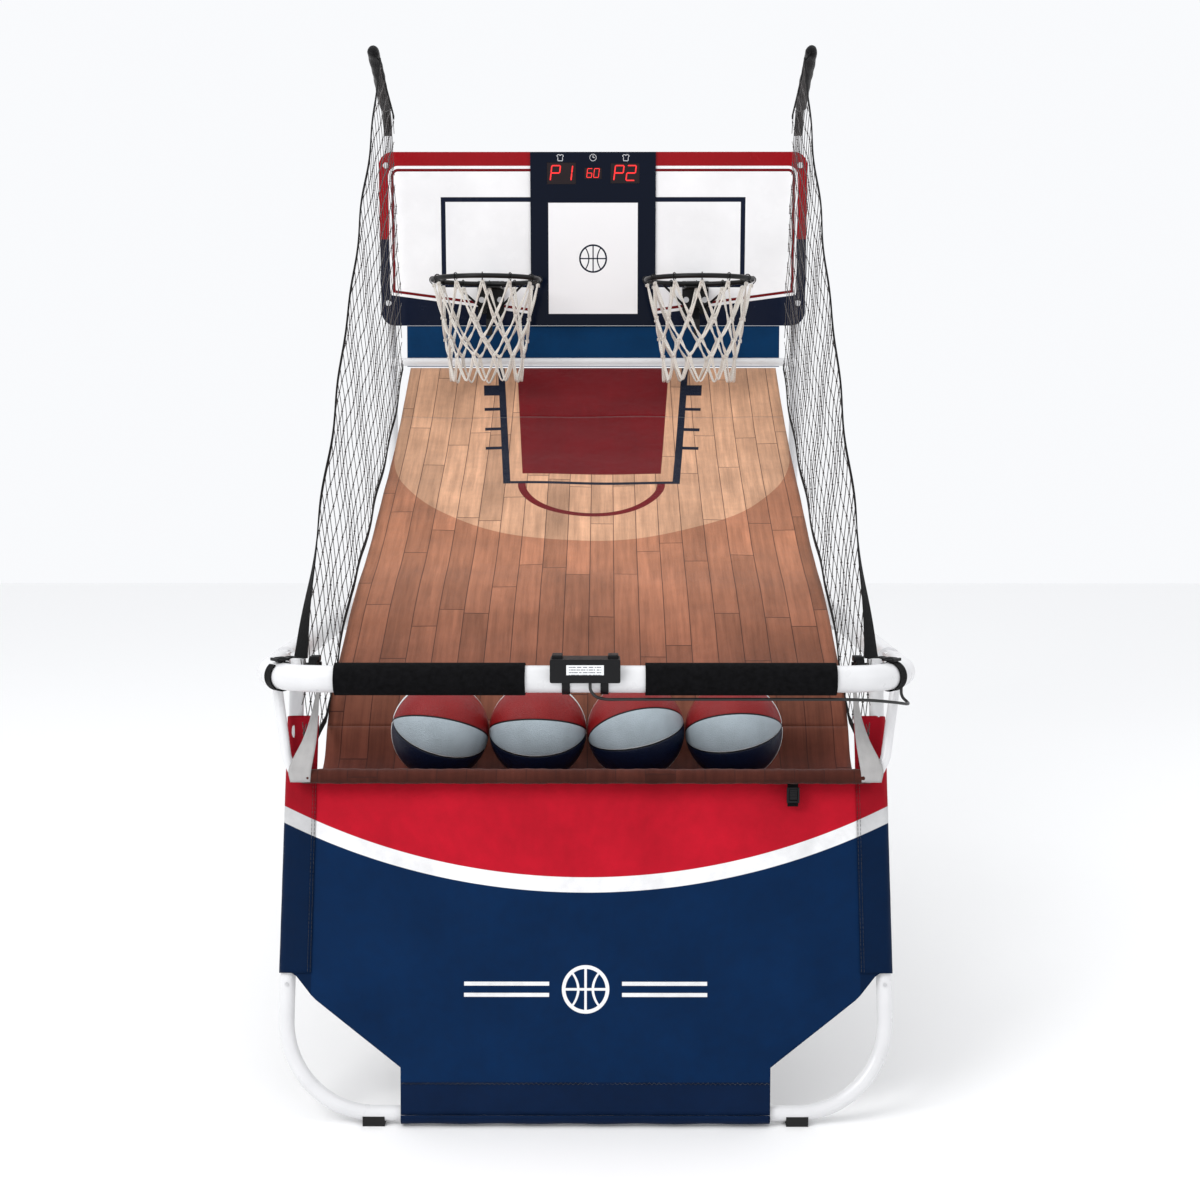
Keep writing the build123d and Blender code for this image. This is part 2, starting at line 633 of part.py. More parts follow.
def score_displays():
    return [on_board(x, DISPLAY_UP, width, height, SCORE_T - 0.8, SCORE_T - 0.8 - DISPLAY_T)
            + on_board(x, DISPLAY_UP, width - 12, height - 6, SCORE_T - 1, -BOARD_T - 3.0)
            for x, width, height in DISPLAYS]


def score_case():
    case = on_board(0, CASE_UP, CASE_W, CASE_H, -BOARD_T, -BOARD_T - CASE_D)
    room = on_board(0, CASE_UP, CASE_W - 2 * CASE_WALL, CASE_H - 2 * CASE_WALL, -BOARD_T + 1,
                    -BOARD_T - CASE_D + CASE_WALL)
    case -= room
    plane = board_plane()
    cells = [(k, j) for k in range(-3, 4) for j in range(-3, 4) if math.hypot(k, j) < 3.3]
    for k, j in cells:
        x, up = SPEAKER_AT[0] + 7 * k, SPEAKER_AT[1] + 7 * j
        start = plane.from_local_coords(Vector(x, up, -BOARD_T - CASE_D - 1))
        case -= rod(start, plane.from_local_coords(Vector(x, up, -BOARD_T - CASE_D + 4)), 1.6)
    return case


def circuit_board():
    board = on_board(0, DISPLAY_UP - 2, CASE_W - 40, 40, -BOARD_T - 3.0, -BOARD_T - 4.6)
    for k in range(6):
        board += on_board(-90 + 36 * k, DISPLAY_UP - 4, 16, 12, -BOARD_T - 4.6, -BOARD_T - 7.5)
    for side in (-1, 1):
        board += on_board(side * 118, DISPLAY_UP - 2, 8, 8, -BOARD_T - 4.6, -BOARD_T - CASE_D + CASE_WALL)
    return board


def speaker():
    plane = board_plane()
    floor = -BOARD_T - CASE_D + CASE_WALL
    rear = plane.from_local_coords(Vector(*SPEAKER_AT, floor))
    rim = plane.from_local_coords(Vector(*SPEAKER_AT, floor + 4))
    magnet = plane.from_local_coords(Vector(*SPEAKER_AT, -BOARD_T - 5))
    return pipe(rear, rim, SPEAKER_R, SPEAKER_R - 5) + rod(rim, magnet, SPEAKER_R * 0.55) + rod(
        rim, rim + (magnet - rim) * 0.25, SPEAKER_R)


# ---------------------------------------------------------------- hoops
def hoop_rim(side):
    ring = Pos(*at(side * HOOP_X, HOOP_BACK, HOOP_Z)) * Torus(HOOP_R, WIRE_R)
    braces = []
    for brace_side in (-1, 1):
        x = side * HOOP_X + brace_side * BRACE_SPREAD
        back = HOOP_BACK + math.sqrt(HOOP_R ** 2 - BRACE_SPREAD ** 2)
        foot_z = HOOP_Z - BRACKET_H + 26
        foot = at(side * HOOP_X + brace_side * 22, board_back(foot_z) - BRACKET_T - 0.2, foot_z)
        braces.append(rod(at(x, back, HOOP_Z - 1), foot, BRACE_R) - behind_bracket(side))
    return ring.fuse(*braces)


def behind_bracket(side):
    up = (HOOP_Z - BOARD_LOW) / math.cos(math.radians(BOARD_TILT))
    return on_board(side * HOOP_X, up - 30, 160, 160, BRACKET_T, -40)


def rim_bracket(side):
    """Plate on the backboard, a shelf under the rim and two ears for the score paddle."""
    up = (HOOP_Z - BOARD_LOW) / math.cos(math.radians(BOARD_TILT))
    x = side * HOOP_X
    plate = on_board(x, up - BRACKET_H / 2 + 12, BRACKET_W, BRACKET_H, BRACKET_T, 0)
    shelf_z = HOOP_Z - WIRE_R
    near = HOOP_BACK + HOOP_R - 14
    outline = [at(x - 26, near, shelf_z), at(x + 26, near, shelf_z),
               at(x + BRACKET_W / 2, board_back(shelf_z) - 1, shelf_z),
               at(x - BRACKET_W / 2, board_back(shelf_z) - 1, shelf_z)]
    shelf = extrude(make_face(Polyline(*outline, close=True)), amount=BRACKET_T, dir=(0, 0, -1))
    bracket = plate + shelf
    z = HOOP_Z - PADDLE_DROP
    pin_back = board_back(z) - PADDLE_OUT
    for ear in (-1, 1):
        x0, x1 = sorted((x + ear * (PADDLE_W / 2 + 1), x + ear * (PADDLE_W / 2 + 4)))
        bracket += box_between((x0, x1), (pin_back - 6, board_back(z) - 1), (z - 6, z + 6))
        bracket -= rod(at(x0 - 1, pin_back, z), at(x1 + 1, pin_back, z), PADDLE_PIN_R + RUN_FIT)
    for bolt in board_bolts(0.0):
        bracket -= bolt
    return bracket


def score_paddle(side):
    """Sprung arm that the ball pushes back as it drops through the net."""
    x = side * HOOP_X
    z = HOOP_Z - PADDLE_DROP
    back = board_back(z) - PADDLE_OUT
    pin = rod(at(x - PADDLE_W / 2 - 4, back, z), at(x + PADDLE_W / 2 + 4, back, z), PADDLE_PIN_R)
    hub = rod(at(x - PADDLE_W / 2, back, z), at(x + PADDLE_W / 2, back, z), 5)
    elbow = back - PADDLE_REACH + 12
    outline = [(back - 3, z + 1), (back - 3, z - 4), (elbow, z - 30), (elbow - 8, z - PADDLE_LENGTH),
               (elbow - 8 - PADDLE_T, z - PADDLE_LENGTH), (elbow - PADDLE_T, z - 28), (back - 6, z + 3)]
    return pin + hub + side_prism(outline, x - PADDLE_W / 2, x + PADDLE_W / 2)


def hoop_net(side):
    top = HOOP_Z - WIRE_R - BRACKET_T - CLEAR
    low = top - HOOP_NET_H
    x = side * HOOP_X
    cones = []
    for shrink, spare in ((0, 0), (HOOP_NET_T, 0.01)):
        upper = Plane(at(x, HOOP_BACK, top + spare)) * Circle(HOOP_R - 4 - shrink)
        lower = Plane(at(x, HOOP_BACK, low - spare)) * Circle(HOOP_NET_LOW_R - shrink)
        cones.append(loft([lower, upper]))
    return cones[0] - cones[1]


# ---------------------------------------------------------------- nets, court and balls
def net_x(z):
    """Distance of a side net from the middle at a height: it leans out above the rails' travel."""
    if z < 700:
        return NET_X
    if z < 1560:
        return NET_X + (z - 700) / 860 * 24
    return NET_X + 24 + (z - 1560) / 480 * 14


def patch(a, b, c, d):
    return [Face(Wire.make_polygon([a, b, c], close=True)), Face(Wire.make_polygon([a, c, d], close=True))]


def quilt(rows, side):
    """Thin closed sheet through rows of (back, z) points, NET_T thick across X."""
    inner, outer = [[[at(side * (net_x(z) + shift), back, z) for back, z in row] for row in rows]
                    for shift in (-NET_T / 2, NET_T / 2)]
    faces = []
    last = len(rows) - 1
    wide = len(rows[0]) - 1
    for i in range(last):
        for j in range(wide):
            for grid in (inner, outer):
                faces += patch(grid[i][j], grid[i + 1][j], grid[i + 1][j + 1], grid[i][j + 1])
        for j in (0, wide):
            faces += patch(inner[i][j], inner[i + 1][j], outer[i + 1][j], outer[i][j])
    for j in range(wide):
        for i in (0, last):
            faces += patch(inner[i][j], inner[i][j + 1], outer[i][j + 1], outer[i][j])
    return Solid(Shell(faces))


def net_zone(side, stations):
    """Net between stations of (back, low z, high z), in four strips up."""
    rows = [[(back, low + (high - low) * k / 4) for k in range(5)] for back, low, high in stations]
    return quilt(rows, side)


def court_edge(back):
    points = court_path()
    for (b0, z0), (b1, z1) in zip(points, points[1:]):
        if b0 <= back <= b1:
            return z0 + (z1 - z0) * (back - b0) / (b1 - b0)
    return points[-1][1]


def net_edge(back):
    """Height of the side net's front edge, a webbing that sags between the bar and the pole tip."""
    share = (back - SLEEVE_BACK) / (TIP_BACK - SLEEVE_BACK)
    return BAR_Z + 12 + (TIP_Z - 25 - BAR_Z - 12) * share - 80 * share * (1 - share)


def net_front(side):
    stations = [(SLEEVE_BACK + 14, SLEEVE_Z + 20, net_edge(SLEEVE_BACK + 14)),
                (160, 580, net_edge(160)), (250, 590, net_edge(250)),
                (TRAY_END, TRAY_END_Z + 10, net_edge(TRAY_END))]
    near, far = at(side * (NET_X - 9), KNOB_BACK, KNOB_Z), at(side * (NET_X + 9), KNOB_BACK, KNOB_Z)
    return net_zone(side, stations) - rod(near, far, BOLT_R + 1.5)


def net_mid(side):
    backs = (TRAY_END, 511, 702, 949, 1179, 1435, TIP_BACK - 4)
    stations = [(back, court_edge(back) + 10, net_edge(back)) for back in backs]
    return net_zone(side, stations)


def net_rear(side):
    stations = [(TIP_BACK - 4, court_edge(TIP_BACK - 4) + 10, net_edge(TIP_BACK - 4)),
                (1680, court_edge(1680) + 10, 1968), (1792, 1282, 1912)]
    return net_zone(side, stations)


def tray_outline():
    return [(SLEEVE_BACK, SLEEVE_Z), *TRAY_DIP, (TRAY_END, TRAY_END_Z)]


def court_path():
    return tray_outline() + list(COURT_SLOPE) + [(SPLIT, SPLIT_Z), (COURT_END_BACK, COURT_END_Z)]


def court_slice(start, end):
    """Court fabric COURT_T thick between two places on its path, edge to edge."""
    path = [Vector(back, z, 0) for back, z in court_path()]
    upper, lower = [], []
    for k, point in enumerate(path):
        before = path[max(k - 1, 0)]
        after = path[min(k + 1, len(path) - 1)]
        along = (after - before).normalized()
        normal = Vector(-along.Y, along.X, 0) * (COURT_T / 2)
        if start <= point.X <= end:
            upper.append(((point + normal).X, (point + normal).Y))
            lower.append(((point - normal).X, (point - normal).Y))
    return side_prism(upper + lower[::-1], -COURT_X, COURT_X)


def court_tray():
    sheet = court_slice(SLEEVE_BACK, TRAY_END)
    sleeve = rod(at(-COURT_X, SLEEVE_BACK, SLEEVE_Z), at(COURT_X, SLEEVE_BACK, SLEEVE_Z), DROP_R + CLEAR + 2)
    ends = at(-COURT_X - 9, SLEEVE_BACK, SLEEVE_Z), at(COURT_X + 9, SLEEVE_BACK, SLEEVE_Z)
    return (sheet + sleeve) - rod(*ends, DROP_R + CLEAR)


def court_mid():
    return court_slice(TRAY_END, SPLIT)


def court_rear():
    return court_slice(SPLIT, COURT_END_BACK)


def back_panel():
    back = CROSSBAR_BACK + CROSSBAR_R + CLEAR
    half = POST_X - CROSSBAR_BEND - CROSSBAR_R
    return box_between((-half, half), (back, back + 2.5), (CROSSBAR_Z - 12, BOARD_LOW - 0.5))


def ball(number):
    x = (number - 1.5) * BALL_PITCH
    return Pos(*at(x, BALL_BACK, BALL_Z)) * (Sphere(BALL_R) - Sphere(BALL_R - BALL_WALL))


def net_tie(side):
    """Webbing loop round the bar's bend, with its cam buckle."""
    corner = RAIL_X - BAR_BEND
    turn = math.asin((500 - corner) / BAR_BEND)
    middle = at(side * (corner + BAR_BEND * math.sin(turn)), BAR_BEND - BAR_BEND * math.cos(turn), BAR_Z)
    along = Vector(side * math.cos(turn), math.sin(turn), 0)
    ring = pipe(middle - along * 7, middle + along * 7, RAIL_R + 3, RAIL_R + 0.8)
    top = middle + Vector(0, 0, RAIL_R + 2)
    upward = (Align.CENTER, Align.CENTER, Align.MIN)
    return ring + Plane(top, x_dir=along, z_dir=(0, 0, 1)) * Box(20, 26, 7, align=upward)


def strap_buckle():
    """Side-release buckle on its strap under the court's front sleeve."""
    x = 345.0
    low = SLEEVE_Z - DROP_R - 2
    strap = box_between((x - 9, x + 9), (SLEEVE_BACK - 1, SLEEVE_BACK + 1), (low - 40, low - 0.4))
    body = box_between((x - 11, x + 11), (SLEEVE_BACK - 5, SLEEVE_BACK + 5), (low - 32, low - 8))
    return strap + body


# ---------------------------------------------------------------- write the parts
os.makedirs("parts", exist_ok=True)
SIDE_NAME = {-1: "left", 1: "right"}

save("front_bar", front_bar())
save("legs", both_sides(leg))
save("front_foot_tube", foot_tube(stand_plane(), LEG_X, True))
save("front_feet", both_sides(lambda side: foot_pad(side, LEG_FOOT_BACK)))
save("leg_knobs", both_sides(leg_knob))
save("snap_buttons", both_sides(lambda side: snap_button(side, stand_plane(), LEG_X)))
save("front_hinge_pins", both_sides(lambda side: hinge_pin(side, FRONT_PIVOT)))
save("drop_tube", drop_tube())
save("front_panel", front_panel())
save("control_box", control_box())
save("control_board", control_board())
save("control_clips", control_clips())
save("cable_front", cable_front())
save("cable_rear", cable_rear())
save("front_rails", both_sides(lambda side: half_rail(side, FRONT_PIVOT, 1, front_knuckle)))
save("rear_rails", both_sides(lambda side: half_rail(side, REAR_PIVOT, -1, rear_knuckle)))
save("centre_hinge_pins", both_sides(centre_pin))
save("rear_hinge_pins", both_sides(lambda side: hinge_pin(side, REAR_PIVOT)))
save("uprights", both_sides(upright))
save("rear_foot_tube", foot_tube(rear_plane(), POST_X, False))
save("rear_feet", both_sides(lambda side: foot_pad(side, POST_FOOT_BACK)))
save("rear_hinge_brackets", both_sides(hinge_bracket))
save("court_crossbar", court_crossbar())
save("net_poles", both_sides(net_pole))
save("pole_sleeves", both_sides(pole_sleeve))
save("backboard", backboard())
save("board_bolts", board_bolts())
save("board_brackets", [board_bracket(side, up) for side in (-1, 1) for up in BOARD_RAIL_UP])
save("board_rails", board_rails())
save("score_panel", score_panel())
save("score_displays", score_displays())
save("score_case", score_case())
save("circuit_board", circuit_board())
save("speaker", speaker())
save("rim_brackets", both_sides(rim_bracket))
save("court_tray", court_tray())
save("court_mid", court_mid())
save("court_rear", court_rear())
save("back_panel", back_panel())
save("webbing_straps", both_sides(net_tie) + [strap_buckle()])
for side, label in SIDE_NAME.items():
    save(f"grip_{label}", grip(side))
    save(f"button_{label}", control_button(side))
    save(f"hoop_rim_{label}", hoop_rim(side))
    save(f"hoop_net_{label}", hoop_net(side))
    save(f"score_paddle_{label}", score_paddle(side))
    save(f"net_front_{label}", net_front(side))
    save(f"net_mid_{label}", net_mid(side))
    save(f"net_rear_{label}", net_rear(side))
for number in range(4):
    save(f"ball_{number + 1}", ball(number))
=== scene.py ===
import json
import math

import bpy
import numpy as np
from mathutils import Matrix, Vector


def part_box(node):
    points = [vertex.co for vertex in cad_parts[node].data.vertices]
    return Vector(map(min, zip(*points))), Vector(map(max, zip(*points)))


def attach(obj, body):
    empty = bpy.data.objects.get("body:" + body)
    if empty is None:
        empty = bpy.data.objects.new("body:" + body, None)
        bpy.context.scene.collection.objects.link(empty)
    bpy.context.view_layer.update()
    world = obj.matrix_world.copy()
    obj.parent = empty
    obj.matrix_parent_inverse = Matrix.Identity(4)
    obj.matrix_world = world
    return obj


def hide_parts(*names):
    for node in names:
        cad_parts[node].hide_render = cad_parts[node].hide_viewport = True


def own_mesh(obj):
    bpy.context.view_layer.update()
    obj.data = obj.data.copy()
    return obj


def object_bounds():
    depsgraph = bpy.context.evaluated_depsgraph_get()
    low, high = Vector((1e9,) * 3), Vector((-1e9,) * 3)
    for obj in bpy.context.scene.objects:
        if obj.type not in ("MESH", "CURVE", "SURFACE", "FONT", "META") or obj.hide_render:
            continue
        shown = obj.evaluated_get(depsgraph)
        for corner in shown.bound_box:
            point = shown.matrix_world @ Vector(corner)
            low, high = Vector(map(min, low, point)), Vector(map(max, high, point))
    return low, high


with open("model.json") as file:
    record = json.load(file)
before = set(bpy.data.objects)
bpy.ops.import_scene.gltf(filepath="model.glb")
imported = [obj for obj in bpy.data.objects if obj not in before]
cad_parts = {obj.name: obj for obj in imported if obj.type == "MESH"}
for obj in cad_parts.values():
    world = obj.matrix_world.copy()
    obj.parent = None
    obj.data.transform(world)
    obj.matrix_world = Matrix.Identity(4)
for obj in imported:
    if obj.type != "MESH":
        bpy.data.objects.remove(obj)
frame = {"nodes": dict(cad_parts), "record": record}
CAD_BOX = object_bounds()
NODES = frame["nodes"]
SLOTS = {part["node"]: part["material_slot"] for part in frame["record"]["subparts"]}
RNG = np.random.default_rng(7)
SIDES = {-1: "left", 1: "right"}


# ------------------------------------------------------------ places read from the frame
def points_of(node):
    return np.array([v.co for v in NODES[node].data.vertices], float)


def middle(node):
    lo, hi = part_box(node)
    return np.array((lo + hi) / 2)


def axis_of(node, side):
    """Middle, upward direction and half length of the long piece of a node on one side."""
    points = points_of(node)
    points = points[points[:, 0] * side > 0]
    centre = (points.min(0) + points.max(0)) / 2
    along = np.linalg.svd(points - points.mean(0), full_matrices=False)[2][0]
    along = along * np.sign(along[2])
    return centre, along, np.ptp((points - centre) @ along) / 2


BAR = middle("grip_left") * (0, 1, 1)                 # front bar's centre line
BAR_R = 0.022
LEG_MIDDLE, LEG_UP, _ = axis_of("legs", 1)
LEG_X = LEG_MIDDLE[0]
TUBE_R = 0.0125                                       # legs and foot tube
FOOT_Z = round(float(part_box("front_foot_tube")[0][2]) + TUBE_R, 4)     # rounding off the mesh's facets


def leg_at(z):
    """Y of the legs' centre line at a height."""
    return LEG_MIDDLE[1] + (z - LEG_MIDDLE[2]) * LEG_UP[1] / LEG_UP[2]


STAND = np.array((0, leg_at(FOOT_Z), FOOT_Z))         # origin of the legs' plane, at the foot tube
STAND_UP = LEG_UP * (0, 1, 1) / np.linalg.norm(LEG_UP[1:])
STAND_OUT = np.array((0, -STAND_UP[2], STAND_UP[1]))  # towards the players

BOARD_T = 0.012
BOARD_TILT = math.radians(4.0)
BOARD_UP = np.array((0, -math.sin(BOARD_TILT), math.cos(BOARD_TILT)))
BOARD_OUT = np.array((0, -math.cos(BOARD_TILT), -math.sin(BOARD_TILT)))


def board_face():
    """Point on the board's front face at its lower edge."""
    points = points_of("backboard")
    front = points[np.argmax(points @ BOARD_OUT)]
    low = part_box("backboard")[0][2] + BOARD_T * math.sin(BOARD_TILT)
    return front + BOARD_UP * ((low - front[2]) / BOARD_UP[2]) - front * (1, 0, 0)


BOARD = board_face()


def on_board(x, up, out=0.0):
    return BOARD + BOARD_UP * up + BOARD_OUT * out + (x, 0, 0)


# ------------------------------------------------------------ meshes
def mesh(name, verts, faces, material, uv=None, smooth=True):
    """Object from arrays. uv is one pair per vertex, or one per face corner."""
    data = bpy.data.meshes.new(name)
    data.from_pydata([tuple(v) for v in verts], [], [tuple(int(i) for i in f) for f in faces])
    data.update()
    for one in material if isinstance(material, (list, tuple)) else [material]:
        data.materials.append(one)
    if uv is not None:
        layer = data.uv_layers.new(name="UVMap")
        index = np.zeros(len(data.loops), np.int64)
        data.loops.foreach_get("vertex_index", index)
        uv = np.asarray(uv, float)
        corners = uv[index] if len(uv) == len(data.vertices) else uv
        layer.data.foreach_set("uv", corners.astype(np.float32).ravel())
    if smooth:
        data.polygons.foreach_set("use_smooth", [True] * len(data.polygons))
    obj = bpy.data.objects.new(name, data)
    bpy.context.scene.collection.objects.link(obj)
    return obj


def grid(rows, cols, wrap=False):
    """Quads of a grid of rows x cols vertices, closed across the columns if wrap."""
    span = cols if wrap else cols - 1
    return [(r * cols + c, r * cols + (c + 1) % cols, (r + 1) * cols + (c + 1) % cols, (r + 1) * cols + c)
            for r in range(rows - 1) for c in range(span)]


def tube_arrays(line, radius, sides):
    """Round tube along a line of points, with flat caps, and its UVs: round it and along it in metres."""
    line = np.asarray(line, float)
    tangent = np.gradient(line, axis=0)
    tangent /= np.linalg.norm(tangent, axis=1)[:, None] + 1e-12
    side = np.cross(tangent[0], (0.31, 0.52, 0.79))
    side /= np.linalg.norm(side)
    radii = np.broadcast_to(radius, len(line))
    run = np.concatenate([[0], np.cumsum(np.linalg.norm(np.diff(line, axis=0), axis=1))])
    turns = np.arange(sides) * math.tau / sides
    verts, uv = [], []
    for k, point in enumerate(line):
        side = side - tangent[k] * (side @ tangent[k])
        side /= np.linalg.norm(side)
        other = np.cross(tangent[k], side)
        ring = np.cos(turns)[:, None] * side + np.sin(turns)[:, None] * other
        verts.append(point + ring * radii[k])
        uv += [(turn / math.tau, run[k]) for turn in turns]
    faces = grid(len(line), sides, wrap=True)
    last = (len(line) - 1) * sides
    faces += [tuple(range(sides))[::-1], tuple(range(last, last + sides))]
    return np.concatenate(verts), faces, uv


def tubes(name, lines, radius, sides, material):
    """One object of many tubes."""
    verts, faces, uvs, start = [], [], [], 0
    for line in lines:
        v, f, uv = tube_arrays(line, radius, sides)
        verts.append(v)
        faces += [tuple(i + start for i in face) for face in f]
        uvs += uv
        start += len(v)
    return mesh(name, np.concatenate(verts), faces, material, uv=uvs)


def spline(points, step):
    """Smooth curve through points, resampled about every step metres."""
    p = np.asarray(points, float)
    tangent = np.zeros_like(p)
    gap = np.linalg.norm(np.diff(p, axis=0), axis=1)[:, None]
    slope = np.diff(p, axis=0) / gap
    tangent[1:-1] = (slope[:-1] * gap[1:] + slope[1:] * gap[:-1]) / (gap[:-1] + gap[1:])
    tangent[0], tangent[-1] = slope[0], slope[-1]
    out = [p[:1]]
    for k in range(len(p) - 1):
        count = max(1, round(float(gap[k, 0]) / step))
        t = (np.arange(1, count + 1) / count)[:, None]
        h = gap[k, 0]
        out.append((2 * t ** 3 - 3 * t ** 2 + 1) * p[k] + (t ** 3 - 2 * t ** 2 + t) * h * tangent[k]
                   + (3 * t ** 2 - 2 * t ** 3) * p[k + 1] + (t ** 3 - t ** 2) * h * tangent[k + 1])
    return np.concatenate(out)


def solid_sheet(obj, thickness, inward=True):
    """Gives a sheet of cloth its thickness."""
    bpy.context.view_layer.objects.active = obj
    wall = obj.modifiers.new("thickness", "SOLIDIFY")
    wall.thickness = thickness
    wall.offset = -1.0 if inward else 0.0
    bpy.ops.object.modifier_apply(modifier=wall.name)
    return obj


# ------------------------------------------------------------ shader helpers
class Shader:
    """Builds one material's node tree. Values may be numbers, colours or sockets."""

    def __init__(self, name):
        self.material = bpy.data.materials.new(name)
        self.material.use_nodes = True
        self.tree = self.material.node_tree
        self.bsdf = self.tree.nodes["Principled BSDF"]

    def node(self, kind, inputs=None, **settings):
        made = self.tree.nodes.new("ShaderNode" + kind)
        for key, value in settings.items():
            setattr(made, key, value)
        for key, value in (inputs or {}).items():
            self.put(made.inputs[key], value)
        return made

    def put(self, socket, value):
        if isinstance(value, bpy.types.NodeSocket):
            self.tree.links.new(value, socket)
        elif socket.type == "RGBA":
            socket.default_value = (*value, 1.0)
        else:
            socket.default_value = value

    def math(self, operation, a, b=0.0, c=0.0):
        return self.node("Math", {0: a, 1: b, 2: c}, operation=operation).outputs[0]

    def times(self, a, b=0.0):
        return self.math("MULTIPLY", a, b)

    def minus(self, a, b=0.0):
        return self.math("SUBTRACT", a, b)

    def plus(self, a, b=0.0):
        return self.math("ADD", a, b)

    def size(self, a, b=0.0):
        return self.math("ABSOLUTE", a, b)

    def over(self, a, b=0.0):
        return self.math("DIVIDE", a, b)

    def either(self, a, b=0.0):
        return self.math("MAXIMUM", a, b)

    def place(self):
        """X, Y and Z in the row frame at rest, in metres."""
        split = self.node("SeparateXYZ", {0: self.node("TexCoord").outputs["Object"]})
        return split.outputs

    def cloth_place(self):
        """A sheet's own coordinates, in metres."""
        split = self.node("SeparateXYZ", {0: self.node("UVMap").outputs[0]})
        return split.outputs[0], split.outputs[1]

    def point(self, x, y, z=0.0):
        return self.node("CombineXYZ", {0: x, 1: y, 2: z}).outputs[0]

    def noise(self, vector, scale, detail=3.0, roughness=0.5):
        made = self.node("TexNoise", {"Vector": vector, "Scale": scale, "Detail": detail,
                                      "Roughness": roughness})
        return made.outputs[0]

    def object_noise(self, scale, detail=3.0):
        return self.noise(self.node("TexCoord").outputs["Object"], scale, detail)

    def remap(self, value, low, high, to_low=0.0, to_high=1.0):
        made = self.node("MapRange", {"Value": value, "From Min": low, "From Max": high,
                                      "To Min": to_low, "To Max": to_high})
        return made.outputs[0]

    def vary(self, noise, low, high):
        """A noise spread over a range of values."""
        return self.remap(noise, 0.3, 0.7, low, high)

    def mix(self, share, a, b):
        made = self.node("Mix", data_type="RGBA")
        for key, value in ((0, share), (6, a), (7, b)):
            self.put(made.inputs[key], value)
        return made.outputs[2]

    def shade(self, colour, share):
        """A colour darkened or lightened by a share."""
        made = self.node("Mix", data_type="RGBA", blend_type="MULTIPLY")
        grey = self.node("CombineColor", {0: share, 1: share, 2: share}).outputs[0]
        for key, value in ((0, 1.0), (6, colour), (7, grey)):
            self.put(made.inputs[key], value)
        return made.outputs[2]

    def below(self, value, limit, soft=0.0003):
        """1 where value is under limit, 0 over it, with a thin soft edge."""
        return self.remap(value, self.minus(limit, soft) if not isinstance(limit, float) else limit - soft,
                          self.plus(limit, soft) if not isinstance(limit, float) else limit + soft, 1.0, 0.0)

    def both(self, *shares):
        found = shares[0]
        for share in shares[1:]:
            found = self.times(found, share)
        return found

    def outside(self, share):
        return self.minus(1.0, share)

    def bump(self, height, distance, strength=1.0):
        made = self.node("Bump", {"Height": height, "Distance": distance, "Strength": strength})
        self.put(self.bsdf.inputs["Normal"], made.outputs[0])

    def finish(self, colour, roughness, **sockets):
        self.put(self.bsdf.inputs["Base Color"], colour)
        self.put(self.bsdf.inputs["Roughness"], roughness)
        for key, value in sockets.items():
            self.put(self.bsdf.inputs[key.replace("_", " ")], value)
        return self.material

    def weave(self, x, y, pitch):
        """Height of a plain weave whose threads are pitch metres apart."""
        turn = math.tau / pitch
        warp = self.math("SINE", self.times(x, turn))
        weft = self.math("SINE", self.times(y, turn))
        return self.times(self.times(warp, weft), 0.5)


def paint(name, colour, roughness, grain=900.0, wear=0.06, metallic=0.0, **sockets):
    """Powder coat or enamel, with a fine orange peel and faint handling marks."""
    s = Shader(name)
    marks = s.remap(s.object_noise(14.0, 6.0), 0.35, 0.7, 1.0, 1.0 - wear)
    rough = s.vary(s.object_noise(40.0, 4.0), roughness - 0.04, roughness + 0.06)
    s.bump(s.object_noise(grain, 2.0), 0.00006)
    return s.finish(s.shade(colour, marks), rough, Metallic=metallic, **sockets)


def plastic(name, colour, roughness, grain=2600.0):
    """Moulded plastic with a spark-eroded texture."""
    s = Shader(name)
    rough = s.vary(s.object_noise(60.0, 5.0), roughness - 0.05, roughness + 0.08)
    s.bump(s.object_noise(grain, 3.0), 0.00008)
    return s.finish(s.shade(colour, s.vary(s.object_noise(25.0), 0.88, 1.08)), rough,
                    Specular_IOR_Level=0.2)


def foam():
    s = Shader("foam_grip")
    cells = s.node("TexVoronoi", {"Scale": 900.0}).outputs["Distance"]
    s.put(s.tree.nodes[-1].inputs["Vector"], s.node("TexCoord").outputs["Object"])
    s.bump(s.plus(cells, s.object_noise(260.0, 5.0)), 0.0003)
    pores = s.vary(s.object_noise(120.0, 4.0), 0.7, 1.5)
    return s.finish(s.shade((0.0035, 0.0035, 0.004), pores), 0.88, Specular_IOR_Level=0.06)


def steel(name, colour, roughness):
    """Zinc-plated hardware with a fine brushed grain."""
    s = Shader(name)
    rough = s.vary(s.object_noise(180.0, 5.0), roughness - 0.08, roughness + 0.12)
    s.bump(s.object_noise(1500.0, 2.0), 0.00004)
    return s.finish(s.shade(colour, s.vary(s.object_noise(35.0, 5.0), 0.82, 1.08)), rough, Metallic=1.0)


